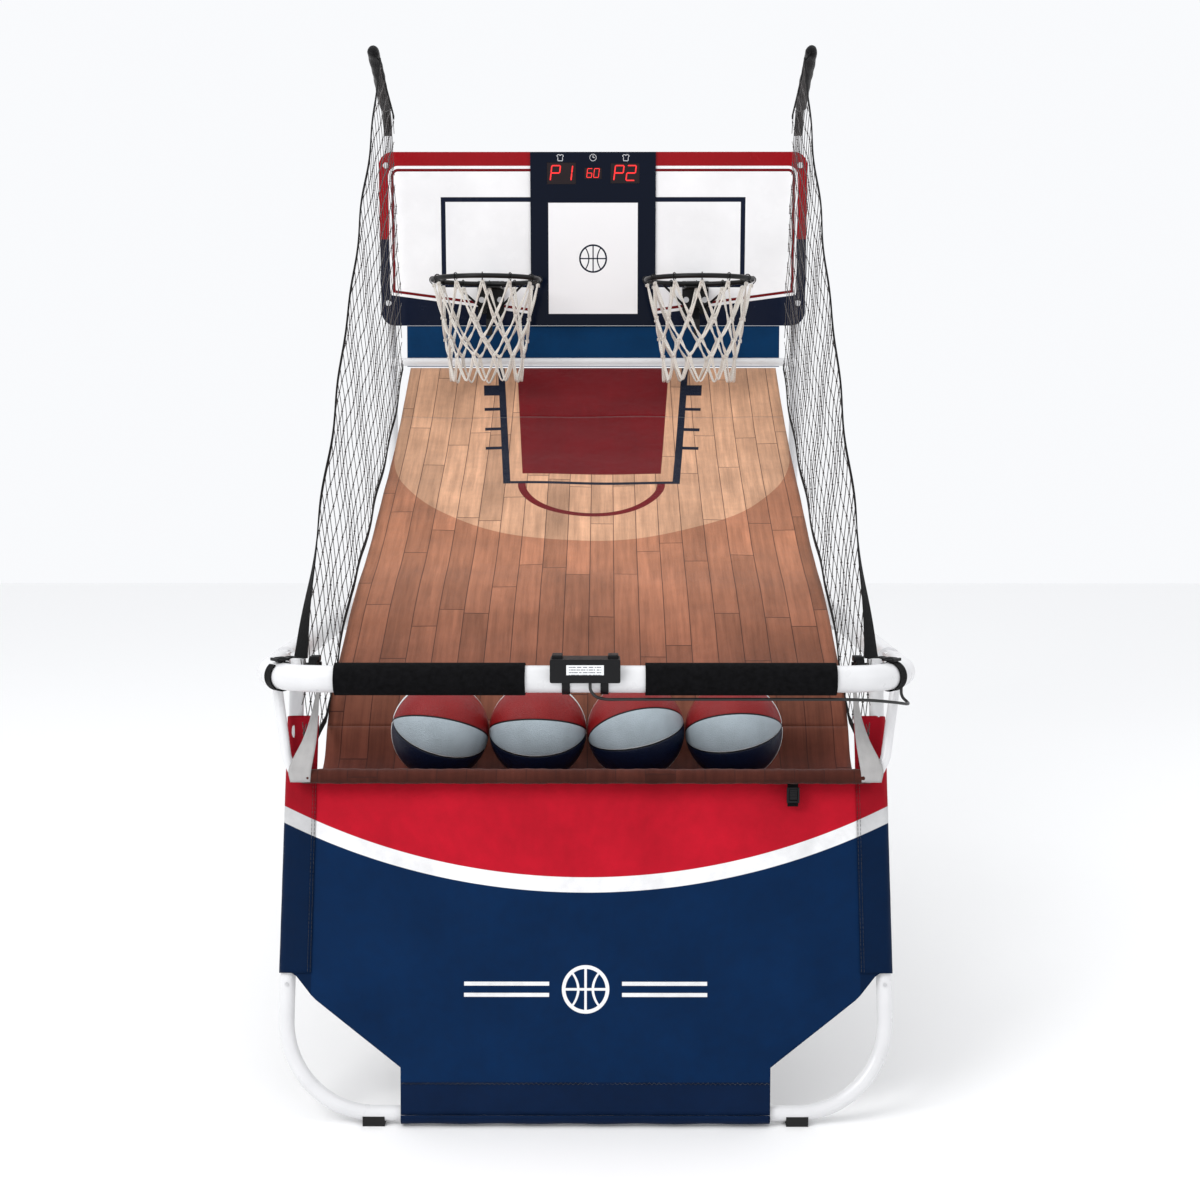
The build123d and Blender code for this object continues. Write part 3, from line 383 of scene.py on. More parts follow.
def cloth(name, colour, roughness=0.62, pitch=0.0011, sheen=0.03, depth=0.00012, folds=0.0006):
    """Woven polyester on a sheet with its own coordinates, with painted shade in the hollows of its folds.
    colour may be a function of the shader.
    """
    s = Shader(name)
    x, y = s.cloth_place()
    base = colour(s, x, y) if callable(colour) else colour
    threads = s.weave(x, y, pitch)
    slubs = s.noise(s.point(s.times(x, 1.0), s.times(y, 1.0)), 55.0, 6.0, 0.6)
    folds_and_fold_shade = s.noise(s.point(x, y), 7.0, 4.0, 0.55)
    height = s.plus(s.times(threads, depth), s.times(folds_and_fold_shade, folds * 8))
    s.bump(height, 1.0)
    tone = s.times(s.remap(threads, -0.5, 0.5, 0.9, 1.06), s.vary(slubs, 0.93, 1.05))
    # painted shade and highlight: the cloth is darker in the folds' hollows and lighter on their ridges
    tone = s.times(tone, s.vary(folds_and_fold_shade, 0.84, 1.12))
    return s.finish(s.shade(base, tone), s.vary(slubs, roughness - 0.06, roughness + 0.08),
                    Sheen_Weight=sheen, Sheen_Roughness=0.4, Specular_IOR_Level=0.06)


def webbing_look(name, colour):
    """Woven strap: chevron ribs along it."""
    s = Shader(name)
    x, y = s.cloth_place()
    chevron = s.math("SINE", s.times(s.plus(y, s.size(x)), math.tau / 0.0028))
    s.bump(s.plus(chevron, s.weave(x, y, 0.0009)), 0.00018)
    tone = s.remap(chevron, -1.0, 1.0, 0.75, 1.25)
    return s.finish(s.shade(colour, tone), 0.78, Sheen_Weight=0.03, Specular_IOR_Level=0.08)


def cord_look(name, colour, pitch, roughness=0.75, depth=0.0002):
    """Twisted or braided cord: its UV is round it and along it."""
    s = Shader(name)
    x, y = s.cloth_place()
    lay = s.math("SINE", s.plus(s.times(y, math.tau / pitch), s.times(x, 3 * math.tau)))
    fuzz = s.object_noise(900.0, 4.0)
    s.bump(s.plus(lay, fuzz), depth)
    return s.finish(s.shade(colour, s.times(s.remap(lay, -1.0, 1.0, 0.8, 1.06),
                                           s.vary(fuzz, 0.88, 1.08))), roughness, Sheen_Weight=0.3)


# ------------------------------------------------------------ printed patterns, with painted shade on the court's front and on the panel's sleeves
NAVY = (0.002, 0.0055, 0.020)
DARK_RED = (0.135, 0.002, 0.005)
WHITE = (0.83, 0.83, 0.84)
WOOD_LIGHT = (0.60, 0.335, 0.205)
# colour of the wood in the painted shadow under the front bar
WOOD_IN_BAR_SHADOW = (0.115, 0.030, 0.020)
PLANK_W = 0.0495
PLANK_L = 0.46
KEY_LOW, KEY_TOP = 1.375, 1.945          # along the court cloth from its front sleeve
LINE_LOW = 1.333
ARC_CENTRE, ARC_R = 1.50, 0.47


def court_print(s, x, y):
    """Wooden planks, the three-point arc, the key and its lane lines, with a painted shadow under the front
    bar.
    """
    lane = s.math("FLOOR", s.over(x, PLANK_W))
    offset = s.node("TexWhiteNoise", {"W": lane}, noise_dimensions="1D").outputs[0]
    along = s.plus(s.over(y, PLANK_L), offset)
    board = s.math("FLOOR", along)
    luck = s.node("TexWhiteNoise", {"Vector": s.point(lane, board)}, noise_dimensions="2D").outputs[0]
    grain = s.noise(s.point(s.times(x, 95.0), s.times(y, 5.0), s.times(luck, 40.0)),
                    1.0, 6.0, 0.65)
    figure = s.noise(s.point(s.times(x, 16.0), s.times(y, 2.2), s.times(luck, 90.0)),
                     1.0, 3.0, 0.5)
    tone = s.times(s.remap(luck, 0.0, 1.0, 0.76, 1.12), s.vary(grain, 0.74, 1.18))
    tone = s.times(tone, s.vary(figure, 0.9, 1.08))
    reach = s.math("SQRT", s.plus(s.math("POWER", x, 2.0),
                                  s.math("POWER", s.minus(y, ARC_CENTRE), 2.0)))
    inner = s.either(s.below(reach, ARC_R), s.outside(s.below(y, ARC_CENTRE)))
    # painted shadow under the front bar: outside the arc the wood fades from its shadowed colour at the front
    # to its own colour further back
    front = s.remap(y, 0.22, 0.95, 0.0, 1.0)
    outer = s.mix(front, WOOD_IN_BAR_SHADOW, (0.43, 0.180, 0.100))
    wood = s.mix(inner, outer, WOOD_LIGHT)
    seam_x = s.size(s.minus(s.math("FRACT", s.over(x, PLANK_W)), 0.5))
    seam_y = s.size(s.minus(s.math("FRACT", along), 0.5))
    seams = s.either(s.outside(s.below(seam_x, 0.484, 0.006)), s.outside(s.below(seam_y, 0.4975, 0.001)))
    # painted shade under the front bar: the first few centimetres of the court and its hem round the front
    # tube at half brightness
    wood = s.shade(wood, s.remap(y, 0.03, 0.10, 0.5, 1.0))
    wood = s.mix(s.times(seams, 0.85), s.shade(wood, tone), (0.035, 0.012, 0.01))
    side = s.size(x)
    slant = s.plus(0.161, s.times(s.minus(y, KEY_LOW), 0.0625))
    key = s.both(s.below(s.minus(side, slant), 0.0), s.outside(s.below(y, KEY_LOW)), s.below(y, KEY_TOP))
    wood = s.mix(key, wood, s.shade(DARK_RED, s.vary(grain, 0.9, 1.06)))
    lean = s.plus(0.187, s.times(s.minus(y, LINE_LOW), 0.070))
    off = s.minus(side, lean)
    lines = s.both(s.below(off, 0.017), s.outside(s.below(off, 0.0)), s.outside(s.below(y, LINE_LOW - 0.012)))
    base = s.both(s.below(off, 0.017), s.below(y, LINE_LOW), s.outside(s.below(y, LINE_LOW - 0.014)))
    marks = s.either(lines, base)
    for low, high in ((1.513, 1.528), (1.613, 1.629), (1.717, 1.732), (1.796, 1.848)):
        mark = s.both(s.below(off, 0.055), s.outside(s.below(off, 0.01)), s.outside(s.below(y, low)),
                      s.below(y, high))
        marks = s.either(marks, mark)
    circle = s.size(s.minus(s.math("SQRT", s.plus(s.math("POWER", x, 2.0), s.math(
        "POWER", s.minus(y, LINE_LOW - 0.014), 2.0))), 0.16))
    ring = s.both(s.below(circle, 0.009), s.below(y, LINE_LOW - 0.014))
    wood = s.mix(ring, wood, DARK_RED)
    wood = s.mix(s.outside(s.below(y, KEY_TOP - 0.002)), wood, NAVY)
    return s.mix(marks, wood, NAVY)


def panel_print(s, x, y):
    """Red above a white arc, navy below, with a plain ball badge, and painted shade on the sleeves round the
    legs. y is up the legs from the foot tube.
    """
    reach = s.math("SQRT", s.plus(s.math("POWER", x, 2.0),
                                  s.math("POWER", s.minus(y, PANEL_ARC_MID + PANEL_ARC_R), 2.0)))
    colour = s.mix(s.below(reach, PANEL_ARC_R - 0.0125), PANEL_NAVY, PANEL_RED)
    band = s.below(s.size(s.minus(reach, PANEL_ARC_R)), 0.0125)
    colour = s.mix(band, colour, WHITE)
    colour = s.mix(s.times(s.below(y, PANEL_HEM), 0.5), colour, (0.003, 0.006, 0.02))
    side = s.size(x)
    # painted shade: the cloth beyond the seam, on the sleeves wrapped round the legs, drawn at 0.62 of its
    # brightness
    sleeve = s.outside(s.below(side, PANEL_SEAM_X))
    colour = s.shade(colour, s.remap(sleeve, 0.0, 1.0, 1.0, 0.62))
    badge_y = s.minus(y, BADGE_UP)
    out = s.math("SQRT", s.plus(s.math("POWER", x, 2.0), s.math("POWER", badge_y, 2.0)))
    ring = s.below(s.size(s.minus(out, BADGE_R)), 0.003)
    inside = s.below(out, BADGE_R)
    cross = s.either(s.below(side, 0.002), s.below(s.size(badge_y), 0.002))
    rib = s.minus(side, s.plus(0.012, s.times(s.math("POWER", badge_y, 2.0), 14.0)))
    cross = s.either(cross, s.below(s.size(rib), 0.002))
    bars = s.both(s.outside(s.below(side, 0.06)), s.below(side, 0.20), s.below(
        s.size(s.minus(s.size(badge_y), 0.009)), 0.0032))
    marks = s.either(s.either(ring, s.times(inside, cross)), bars)
    return s.mix(marks, colour, WHITE)


def board_print():
    """The backboard's print on its front face: frame, stripes, white fields and targets."""
    s = Shader("printed_board")
    x, y, z = s.place()
    front = s.plus(s.times(y, float(BOARD_OUT[1])), s.times(z, float(BOARD_OUT[2])))
    face = s.outside(s.below(front, float(BOARD @ BOARD_OUT) - 0.0012))
    side = s.size(x)

    def field(inset):
        """The white field's outline, drawn in from the stripe's outer edge."""
        low = s.plus(FIELD_LOW + inset, s.times(s.minus(side, 0.165), FIELD_RISE))
        corner_x = s.either(s.minus(side, FIELD_X - FIELD_CORNER), 0.0)
        corner_z = s.either(s.minus(z, FIELD_TOP - FIELD_CORNER), 0.0)
        corner = s.math("SQRT", s.plus(s.math("POWER", corner_x, 2.0), s.math("POWER", corner_z, 2.0)))
        return s.both(s.below(corner, FIELD_CORNER - inset), s.outside(s.below(s.minus(z, low), 0.0)))

    colour = s.mix(s.below(z, FRAME_SPLIT), BOARD_RED, NAVY)
    colour = s.mix(field(0.0), colour, WHITE)
    colour = s.mix(field(0.007), colour, DARK_RED)
    colour = s.mix(field(0.014), colour, WHITE)
    outer = s.both(s.below(side, TARGET_X), s.below(z, TARGET_TOP), s.outside(s.below(z, TARGET_LOW)))
    inner = s.both(s.below(side, TARGET_X - 0.012), s.below(z, TARGET_TOP - 0.012),
                   s.outside(s.below(z, TARGET_LOW + 0.012)))
    colour = s.mix(s.times(outer, s.outside(inner)), colour, NAVY)
    colour = s.mix(face, (0.02, 0.02, 0.022), colour)
    rough = s.vary(s.object_noise(30.0, 5.0), 0.16, 0.3)
    s.bump(s.object_noise(70.0, 3.0), 0.00012)
    tone = s.vary(s.object_noise(9.0, 4.0), 0.94, 1.03)
    return s.finish(s.shade(colour, tone), rough, Specular_IOR_Level=0.14)


def score_print():
    """Gloss panel with a plain white window and a line drawing of a ball in it."""
    s = Shader("gloss_panel")
    x, y, z = s.place()
    front = s.plus(s.times(y, float(BOARD_OUT[1])), s.times(z, float(BOARD_OUT[2])))
    face = s.outside(s.below(front, float(BOARD @ BOARD_OUT) + 0.0055))
    side = s.size(x)
    high = s.minus(z, (WINDOW_LOW + WINDOW_TOP) / 2)
    window = s.both(face, s.below(side, WINDOW_X), s.below(s.size(high), (WINDOW_TOP - WINDOW_LOW) / 2))
    out = s.math("SQRT", s.plus(s.math("POWER", x, 2.0), s.math("POWER", high, 2.0)))
    ring = s.below(s.size(s.minus(out, 0.034)), 0.0022)
    cross = s.either(s.below(side, 0.0016), s.below(s.size(high), 0.0016))
    rib = s.minus(side, s.plus(0.011, s.times(s.math("POWER", high, 2.0), 12.0)))
    cross = s.either(cross, s.below(s.size(rib), 0.0016))
    drawn = s.either(ring, s.times(s.below(out, 0.034), cross))
    colour = s.mix(window, (0.0015, 0.004, 0.013), WHITE)
    colour = s.mix(s.times(drawn, window), colour, NAVY)
    smears = s.object_noise(12.0, 6.0)
    s.bump(s.object_noise(45.0, 2.0), 0.00005)
    return s.finish(colour, s.remap(smears, 0.35, 0.7, 0.05, 0.15), Specular_IOR_Level=0.12)


def ball_look():
    """Pebbled rubber in lune panels. U is round the ball from the middle of its silver panel."""
    s = Shader("ball_skin")
    u, v = s.cloth_place()
    red, navy = (0.205, 0.008, 0.009), (0.003, 0.008, 0.028)
    silver, pale = (0.36, 0.42, 0.46), (0.74, 0.77, 0.78)
    colour = s.mix(s.below(u, LUNES[0], 0.0002), red, silver)
    for start, shade in zip(LUNES[1:], (pale, navy, pale, navy, silver)):
        colour = s.mix(s.below(u, start, 0.0002), shade, colour)
    seam = 1.0
    width = s.math("SINE", s.times(v, math.pi))
    for start in LUNES:
        gap = s.times(s.size(s.minus(u, start)), width)
        seam = s.math("MINIMUM", seam, gap)
    lower = s.times(s.size(s.minus(u, LUNES[-1] + 0.0042)), width)
    colour = s.mix(s.below(lower, 0.0016, 0.0004), colour, pale)
    colour = s.mix(s.below(seam, 0.0026, 0.0005), colour, (0.004, 0.004, 0.005))
    pebble = s.node("TexVoronoi", {"Scale": 520.0, "Vector": s.node("TexCoord").outputs["Object"]})
    s.bump(pebble.outputs["Distance"], 0.0006)
    tone = s.vary(s.object_noise(30.0, 4.0), 0.9, 1.08)
    rough = s.vary(s.object_noise(200.0, 3.0), 0.3, 0.46)
    return s.finish(s.shade(colour, tone), rough, Specular_IOR_Level=0.25)


PANEL_NAVY = (0.0010, 0.0165, 0.062)
PANEL_RED = (0.46, 0.007, 0.020)
BOARD_RED = (0.27, 0.003, 0.007)
PANEL_ARC_MID, PANEL_ARC_R = 0.3696, 1.15       # middle of the white band, up the legs
PANEL_HEM = 0.052
PANEL_SEAM_X = 0.452
BADGE_UP, BADGE_R = 0.200, 0.036
FIELD_X, FIELD_TOP, FIELD_CORNER = 0.526, 1.798, 0.026
FIELD_LOW, FIELD_RISE = 1.4245, 0.133
FRAME_SPLIT = 1.614
TARGET_X, TARGET_LOW, TARGET_TOP = 0.392, 1.492, 1.720
WINDOW_X, WINDOW_LOW, WINDOW_TOP = 0.115, 1.424, 1.705
LUNES = (0.0625, 0.236, 0.4375, 0.5625, 0.764, 0.9375)   # panel edges round a ball, as shares of a turn

LOOKS = {
    "white_tube": paint("white_tube", (0.70, 0.70, 0.71), 0.30, wear=0.07, Coat_Weight=0.25,
                        Coat_Roughness=0.15),
    "black_steel": paint("black_steel", (0.003, 0.003, 0.0035), 0.34, wear=0.2, Specular_IOR_Level=0.25),
    "zinc": steel("zinc", (0.62, 0.62, 0.63), 0.33),
    "black_plastic": plastic("black_plastic", (0.005, 0.005, 0.006), 0.46),
    "gloss_panel": score_print(),
    "printed_board": board_print(),
    "display": plastic("display", (0.014, 0.008, 0.010), 0.14, grain=400.0),
    "foam": foam(),
    "rubber": plastic("rubber", (0.014, 0.014, 0.014), 0.75, grain=900.0),
    "court_cloth": cloth("court_cloth", court_print, roughness=0.55, sheen=0.12),
    "panel_cloth": cloth("panel_cloth", panel_print, roughness=0.58),
    "back_cloth": cloth("back_cloth", (0.002, 0.034, 0.105), roughness=0.6),
    "mesh_cloth": cord_look("mesh_cloth", (0.022, 0.014, 0.013), 0.004),
    "webbing": webbing_look("webbing", (0.004, 0.004, 0.0045)),
    "net_cord": cord_look("net_cord", (0.78, 0.74, 0.68), 0.006),
    "ball_skin": ball_look(),
    "circuit": plastic("circuit", (0.008, 0.07, 0.03), 0.35, grain=700.0),
    "cable": paint("cable", (0.010, 0.010, 0.010), 0.42, grain=500.0, wear=0.1),
    "sleeve_cloth": cloth("sleeve_cloth", (0.010, 0.010, 0.011), roughness=0.7, pitch=0.0014, sheen=0.35),
}
CLOTH_BACK = cloth("cloth_back", (0.42, 0.41, 0.405), roughness=0.6)
LIT = Shader("lit_segments")
LIT.finish((0.5, 0.01, 0.01), 0.4, Emission_Color=(1.0, 0.015, 0.015), Emission_Strength=0.9)
ICON = paint("icon_white", (0.55, 0.56, 0.58), 0.4)

for name, obj in NODES.items():
    obj.data.materials.clear()
    obj.data.materials.append(LOOKS[SLOTS[name]])


# ------------------------------------------------------------ court cloth
def court_path():
    """Middle line of the court cloth as (y, z), from the front sleeve to the crossbar."""
    found = []
    for node in ("court_tray", "court_mid", "court_rear"):
        points = points_of(node)
        edge = points[points[:, 0] > points[:, 0].max() - 1e-4][:, 1:]
        for a in edge:
            near = edge[np.abs(np.linalg.norm(edge - a, axis=1) - 0.003) < 0.0003]
            found += [tuple((a + b) / 2) for b in near]
    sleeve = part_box("court_tray")[0]
    start = (sleeve[1] + SLEEVE_R, points_of("court_tray")[:, 2][
        points_of("court_tray")[:, 1] < sleeve[1] + 0.001].mean())
    found = sorted({(round(y, 4), round(z, 4)) for y, z in found if y > start[0] + 0.03})
    kept = [start]
    for point in found:
        if math.dist(point, kept[-1]) > 0.006:
            kept.append(point)
    return np.array(kept)


def along_of(line):
    return np.concatenate([[0], np.cumsum(np.linalg.norm(np.diff(line, axis=0), axis=1))])


SLEEVE_R = 0.01085
COURT_X = float(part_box("court_mid")[1][0])
COURT_LINE = spline(court_path(), 0.006)
COURT_RUN = along_of(COURT_LINE)


def court_at(x, run):
    """Points of the cloth at x across and run metres along it, with soft lengthwise waves off the tray."""
    y, z = (np.interp(run, COURT_RUN, COURT_LINE[:, k]) for k in (0, 1))
    free = np.clip((run - 0.30) / 0.3, 0, 1) * np.clip((COURT_RUN[-1] - run) / 0.2, 0, 1)
    wave = 0.0011 * np.sin(x * 21 + run * 3.1) + 0.0009 * np.sin(x * 9 - run * 7.3 + 1.0)
    wave += 0.0007 * np.sin(run * 41 + 0.8 * np.sin(x * 5))
    return np.stack([x, y, z + wave * free], axis=-1)


def court_piece(name, node, start, end):
    rows = max(2, round((end - start) / 0.008))
    runs = np.linspace(start, end, rows + 1)
    across = np.linspace(-COURT_X, COURT_X, 90)
    x, run = np.meshgrid(across, runs)
    verts = court_at(x, run).reshape(-1, 3)
    uv = np.stack([x, run], axis=-1).reshape(-1, 2)
    obj = mesh(name, verts, grid(len(runs), len(across)), [LOOKS["court_cloth"], CLOTH_BACK], uv=uv)
    solid_sheet(obj, 0.0009)
    underside(obj)
    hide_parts(node)
    return obj


def underside(obj, down=np.array((0, 0, -1.0))):
    """The cloth's unprinted back is pale."""
    data = obj.data
    normals = np.zeros(len(data.polygons) * 3)
    data.polygons.foreach_get("normal", normals)
    back = (normals.reshape(-1, 3) @ down > 0.2).astype(int)
    data.polygons.foreach_set("material_index", back)


def run_at(y):
    """How far along the cloth its line reaches y."""
    return float(np.interp(y, COURT_LINE[:, 0], COURT_RUN))


TRAY_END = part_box("court_tray")[1][1]
MID_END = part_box("court_mid")[1][1]
JOINED = [0.0, run_at(TRAY_END), run_at(MID_END), float(COURT_RUN[-1])]
tray = court_piece("cloth_tray", "court_tray", JOINED[0], JOINED[1])
mid = court_piece("cloth_mid", "court_mid", JOINED[1], JOINED[2])
rear = court_piece("cloth_rear", "court_rear", JOINED[2], JOINED[3])
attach(tray, "front_stand")
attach(mid, "rear_frame")
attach(rear, "rear_frame")


def gather(obj):
    """Gives the cloth between two places along Y its own copy of its mesh data."""
    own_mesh(obj)


gather(mid)


def front_sleeve():
    """Hem of the court round the tube in front of the balls, with its line of stitches."""
    turns = np.linspace(math.radians(62), math.radians(62 - 352), 30)
    centre = COURT_LINE[0]
    radius = SLEEVE_R + 0.0012
    xs = np.linspace(-COURT_X, COURT_X, 120)
    verts, uv = [], []
    for x in xs:
        pucker = 1 + 0.035 * math.sin(x * 240) + 0.03 * math.sin(x * 61 + 1)
        for turn in turns:
            ring = radius * (pucker if abs(math.degrees(turn)) > 20 else 1)
            verts.append((x, centre[0] + ring * math.cos(turn), centre[1] + ring * math.sin(turn)))
            uv.append((x, -0.02 - 0.02 * turn))
    obj = mesh("cloth_sleeve", verts, grid(len(xs), len(turns)), LOOKS["court_cloth"], uv=uv)
    solid_sheet(obj, 0.0008, inward=False)
    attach(obj, "front_stand")
    thread = []
    for k in range(int(2 * COURT_X / 0.006)):
        x = -COURT_X + 0.003 + k * 0.006
        for row in (0.019, 0.0235):
            a = court_at(np.array([x, x + 0.0042]), np.array([row, row])) + (0, 0, 0.0006)
            thread.append(np.array([a[0], (a[0] + a[1]) / 2 + (0, 0, 0.0002), a[1]]))
    sewing = tubes("sleeve_stitches", thread, 0.00035, 5, LOOKS["net_cord"])
    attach(sewing, "front_stand")


front_sleeve()


# ------------------------------------------------------------ front panel
def on_stand(x, up, out):
    """Points in the legs' plane: up along the legs from the foot tube, out towards the players."""
    x, up, out = np.broadcast_arrays(np.asarray(x, float), up, out)
    across = np.stack([x, x * 0, x * 0], axis=-1)
    return STAND + up[..., None] * STAND_UP + out[..., None] * STAND_OUT + across


RISE = STAND_UP[2]
PANEL_OUT = TUBE_R + 0.0014
PANEL_TOP = 0.5475                         # sewn to the tray's underside above this height
SLEEVE_TOP = (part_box("front_panel")[1][2] - FOOT_Z) / RISE
SLEEVE_LOW = 0.226
CUT_X, CUT_LOW = 0.300, 0.075


def panel_low(x):
    """Lower edge of the panel: cut away between the leg sleeves and the foot tube's hem."""
    side = np.abs(x)
    cut = np.interp(side, [CUT_X, CUT_X + 0.002, LEG_X - 0.045, LEG_X - 0.012],
                    [CUT_LOW, CUT_LOW, 0.186, SLEEVE_LOW])
    return np.where(side <= CUT_X, 0.0, cut)


def panel_wave(x, up):
    """Depth of the soft folds, which die out at the edges that are held."""
    hold = np.clip(1 - (np.abs(x) / 0.45) ** 6, 0, 1) * np.clip(up / 0.06, 0, 1)
    wave = 0.0011 * np.sin(x * 13 + up * 5) + 0.0009 * np.sin(up * 23 - x * 6)
    return hold * (wave + 0.0006 * np.sin(x * 47 + up * 9))


def front_panel():
    xs = np.unique(np.round(np.concatenate([np.linspace(-LEG_X, LEG_X, 120), [-CUT_X, CUT_X, -CUT_X - 0.002,
                                                                               CUT_X + 0.002]]), 5))
    share = np.linspace(0, 1, 70)
    low, top = panel_low(xs), (PANEL_TOP - FOOT_Z) / RISE
    up = low[None, :] + (top - low)[None, :] * share[:, None]
    x = np.broadcast_to(xs, up.shape)
    verts = on_stand(x, up, PANEL_OUT + panel_wave(x, up)).reshape(-1, 3)
    uv = np.stack([x, up], axis=-1).reshape(-1, 2)
    obj = mesh("panel_face", verts, grid(len(share), len(xs)), [LOOKS["panel_cloth"], CLOTH_BACK], uv=uv)
    solid_sheet(obj, 0.0009)
    underside(obj, -STAND_OUT)
    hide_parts("front_panel")
    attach(obj, "front_stand")


def wrap(name, path, ups, look, flat, held):
    """Cloth swept up the legs' plane along a path of (x, out) points. The UV is the panel's own."""
    path = np.asarray(path, float)
    x, up = np.meshgrid(path[:, 0], ups)
    out = np.broadcast_to(path[:, 1], x.shape)
    ripple = 0.0004 * np.sin(up * 90 + x * 40)
    verts = on_stand(x, up, out + ripple).reshape(-1, 3)
    uv = np.stack([x, up], axis=-1).reshape(-1, 2)
    obj = mesh(name, verts, grid(len(ups), len(path)), look, uv=uv)
    solid_sheet(obj, 0.0008, inward=False)
    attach(obj, "front_stand")


def leg_sleeve(side):
    """The panel's edge wrapped round a leg and sewn back to itself beside it."""
    radius = TUBE_R + 0.0017
    turns = np.linspace(math.radians(90), math.radians(-105), 34)
    path = [(side * PANEL_SEAM_X, PANEL_OUT + 0.0014)]
    path += [(side * (PANEL_SEAM_X + k * 0.008), PANEL_OUT + 0.0016) for k in (1, 2, 3, 4)]
    path += [(side * (LEG_X + radius * math.cos(turn)), radius * math.sin(turn)) for turn in turns]
    path += [(side * (LEG_X - 0.012), -radius * 0.75), (side * (LEG_X - 0.026), 0.002),
             (side * (PANEL_SEAM_X + 0.003), PANEL_OUT - 0.002)]
    ups = np.linspace(SLEEVE_LOW, SLEEVE_TOP, 60)
    length = float(along_of(np.array(path))[-1])
    wrap(f"panel_sleeve_{SIDES[side]}", path, ups, LOOKS["panel_cloth"],
         (length, SLEEVE_TOP - SLEEVE_LOW), "stretched")
    rows = []
    for x in (PANEL_SEAM_X + 0.002, PANEL_SEAM_X + 0.0065):
        for k in range(int((SLEEVE_TOP - SLEEVE_LOW) / 0.007)):
            low = SLEEVE_LOW + 0.002 + 0.007 * k
            if x > PANEL_SEAM_X + 0.004 or low < 0.54:
                rows.append(on_stand([side * x] * 3, np.array([low, low + 0.0024, low + 0.0048]),
                                     PANEL_OUT + np.array([0.0022, 0.0027, 0.0022])))
    sewing = tubes(f"panel_stitches_{SIDES[side]}", rows, 0.00035, 5, LOOKS["sleeve_cloth"])
    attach(sewing, "front_stand")


def foot_hem():
    """The panel's lower edge wrapped round the foot tube, with a zigzag of stitches."""
    radius = TUBE_R + 0.0019
    turns = np.linspace(math.radians(88), math.radians(88 - 330), 34)
    xs = np.linspace(-CUT_X, CUT_X, 110)
    x, turn = np.meshgrid(xs, turns)
    swell = radius + 0.0005 * np.sin(x * 55)
    verts = on_stand(x, -swell * np.cos(turn), swell * np.sin(turn)).reshape(-1, 3)
    uv = np.stack([x, 0.02 * turn], axis=-1).reshape(-1, 2)
    obj = mesh("panel_hem", verts, grid(len(turns), len(xs)), LOOKS["panel_cloth"], uv=uv)
    solid_sheet(obj, 0.0008, inward=False)
    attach(obj, "front_stand")
    count = int(2 * CUT_X / 0.004)
    corners = [on_stand(-CUT_X + 0.004 * k, 0.048 + 0.003 * (k % 2), PANEL_OUT + 0.0012)
               for k in range(count + 1)]
    sewing = tubes("hem_stitches", [np.array(corners)], 0.00045, 5, LOOKS["sleeve_cloth"])
    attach(sewing, "front_stand")


front_panel()
leg_sleeve(-1)
leg_sleeve(1)
foot_hem()


# ------------------------------------------------------------ side nets
def net_outline(side):
    """Lower and upper edge of a side net against y, its lean against z, and where its lengths join."""
    stations, lean, joins = {}, {}, []
    for part in ("front", "mid", "rear"):
        points = points_of(f"net_{part}_{SIDES[side]}")
        joins.append((float(points[:, 1].min()), float(points[:, 1].max())))
        for y in np.unique(np.round(points[:, 1], 4)):
            column = points[np.abs(points[:, 1] - y) < 6e-5]
            if np.ptp(column[:, 2]) > 0.15:
                stations[y] = (column[:, 2].min(), column[:, 2].max())
        for z in np.unique(np.round(points[:, 2], 3)):
            lean.setdefault(z, []).extend(np.abs(points[np.abs(points[:, 2] - z) < 6e-4][:, 0]))
    ys = np.array(sorted(stations))
    low, high = (np.array([stations[y][k] for y in ys]) for k in (0, 1))
    zs = np.array(sorted(lean))
    return ys, low, high, zs, np.array([np.mean(lean[z]) for z in zs]), joins


NET = net_outline(1)
MESH = 0.045                                # side of one square of the net
MESH_TURN = math.radians(26)


def net_low(y):
    return np.interp(y, NET[0], NET[1])


def net_high(y):
    return np.interp(y, NET[0], NET[2])


def net_point(side, y, z):
    y, z = np.broadcast_arrays(np.asarray(y, float), np.asarray(z, float))
    slack = 0.0018 * np.sin(y * 17 + z * 11) + 0.0012 * np.sin(z * 29 - y * 8)
    x = np.interp(z, NET[3], NET[4]) + slack
    return np.stack([side * x, y, z], axis=-1)


def jitter(y, z):
    """How far a place on the net is pulled off its square pattern."""
    return (0.0035 * np.sin(y * 23 + z * 9) + 0.002 * np.sin(z * 61 + y * 3),
            0.0035 * np.cos(z * 19 - y * 13) + 0.002 * np.sin(y * 47))


def runs_inside(points, start, end):
    """The stretches of a strand inside the net's outline, each cut at the outline."""
    y, z = points[:, 0], points[:, 1]
    low, high = net_low(y) + 0.002, net_high(y) - 0.002
    inside = (y >= start) & (y <= end) & (z >= low) & (z <= high)
    gaps = np.minimum.reduce([y - start, end - y, z - low, high - z])
    found, run = [], []
    for k in range(len(points)):
        if k and inside[k] != inside[k - 1]:
            share = gaps[k - 1] / (gaps[k - 1] - gaps[k])
            edge = points[k - 1] + (points[k] - points[k - 1]) * share
            run.append(edge)
            if inside[k - 1]:
                found.append(np.array(run))
                run = []
        if inside[k]:
            run.append(points[k])
    if len(run) > 1:
        found.append(np.array(run))
    return [r for r in found if len(r) > 1 and np.linalg.norm(r[-1] - r[0]) > 0.004]


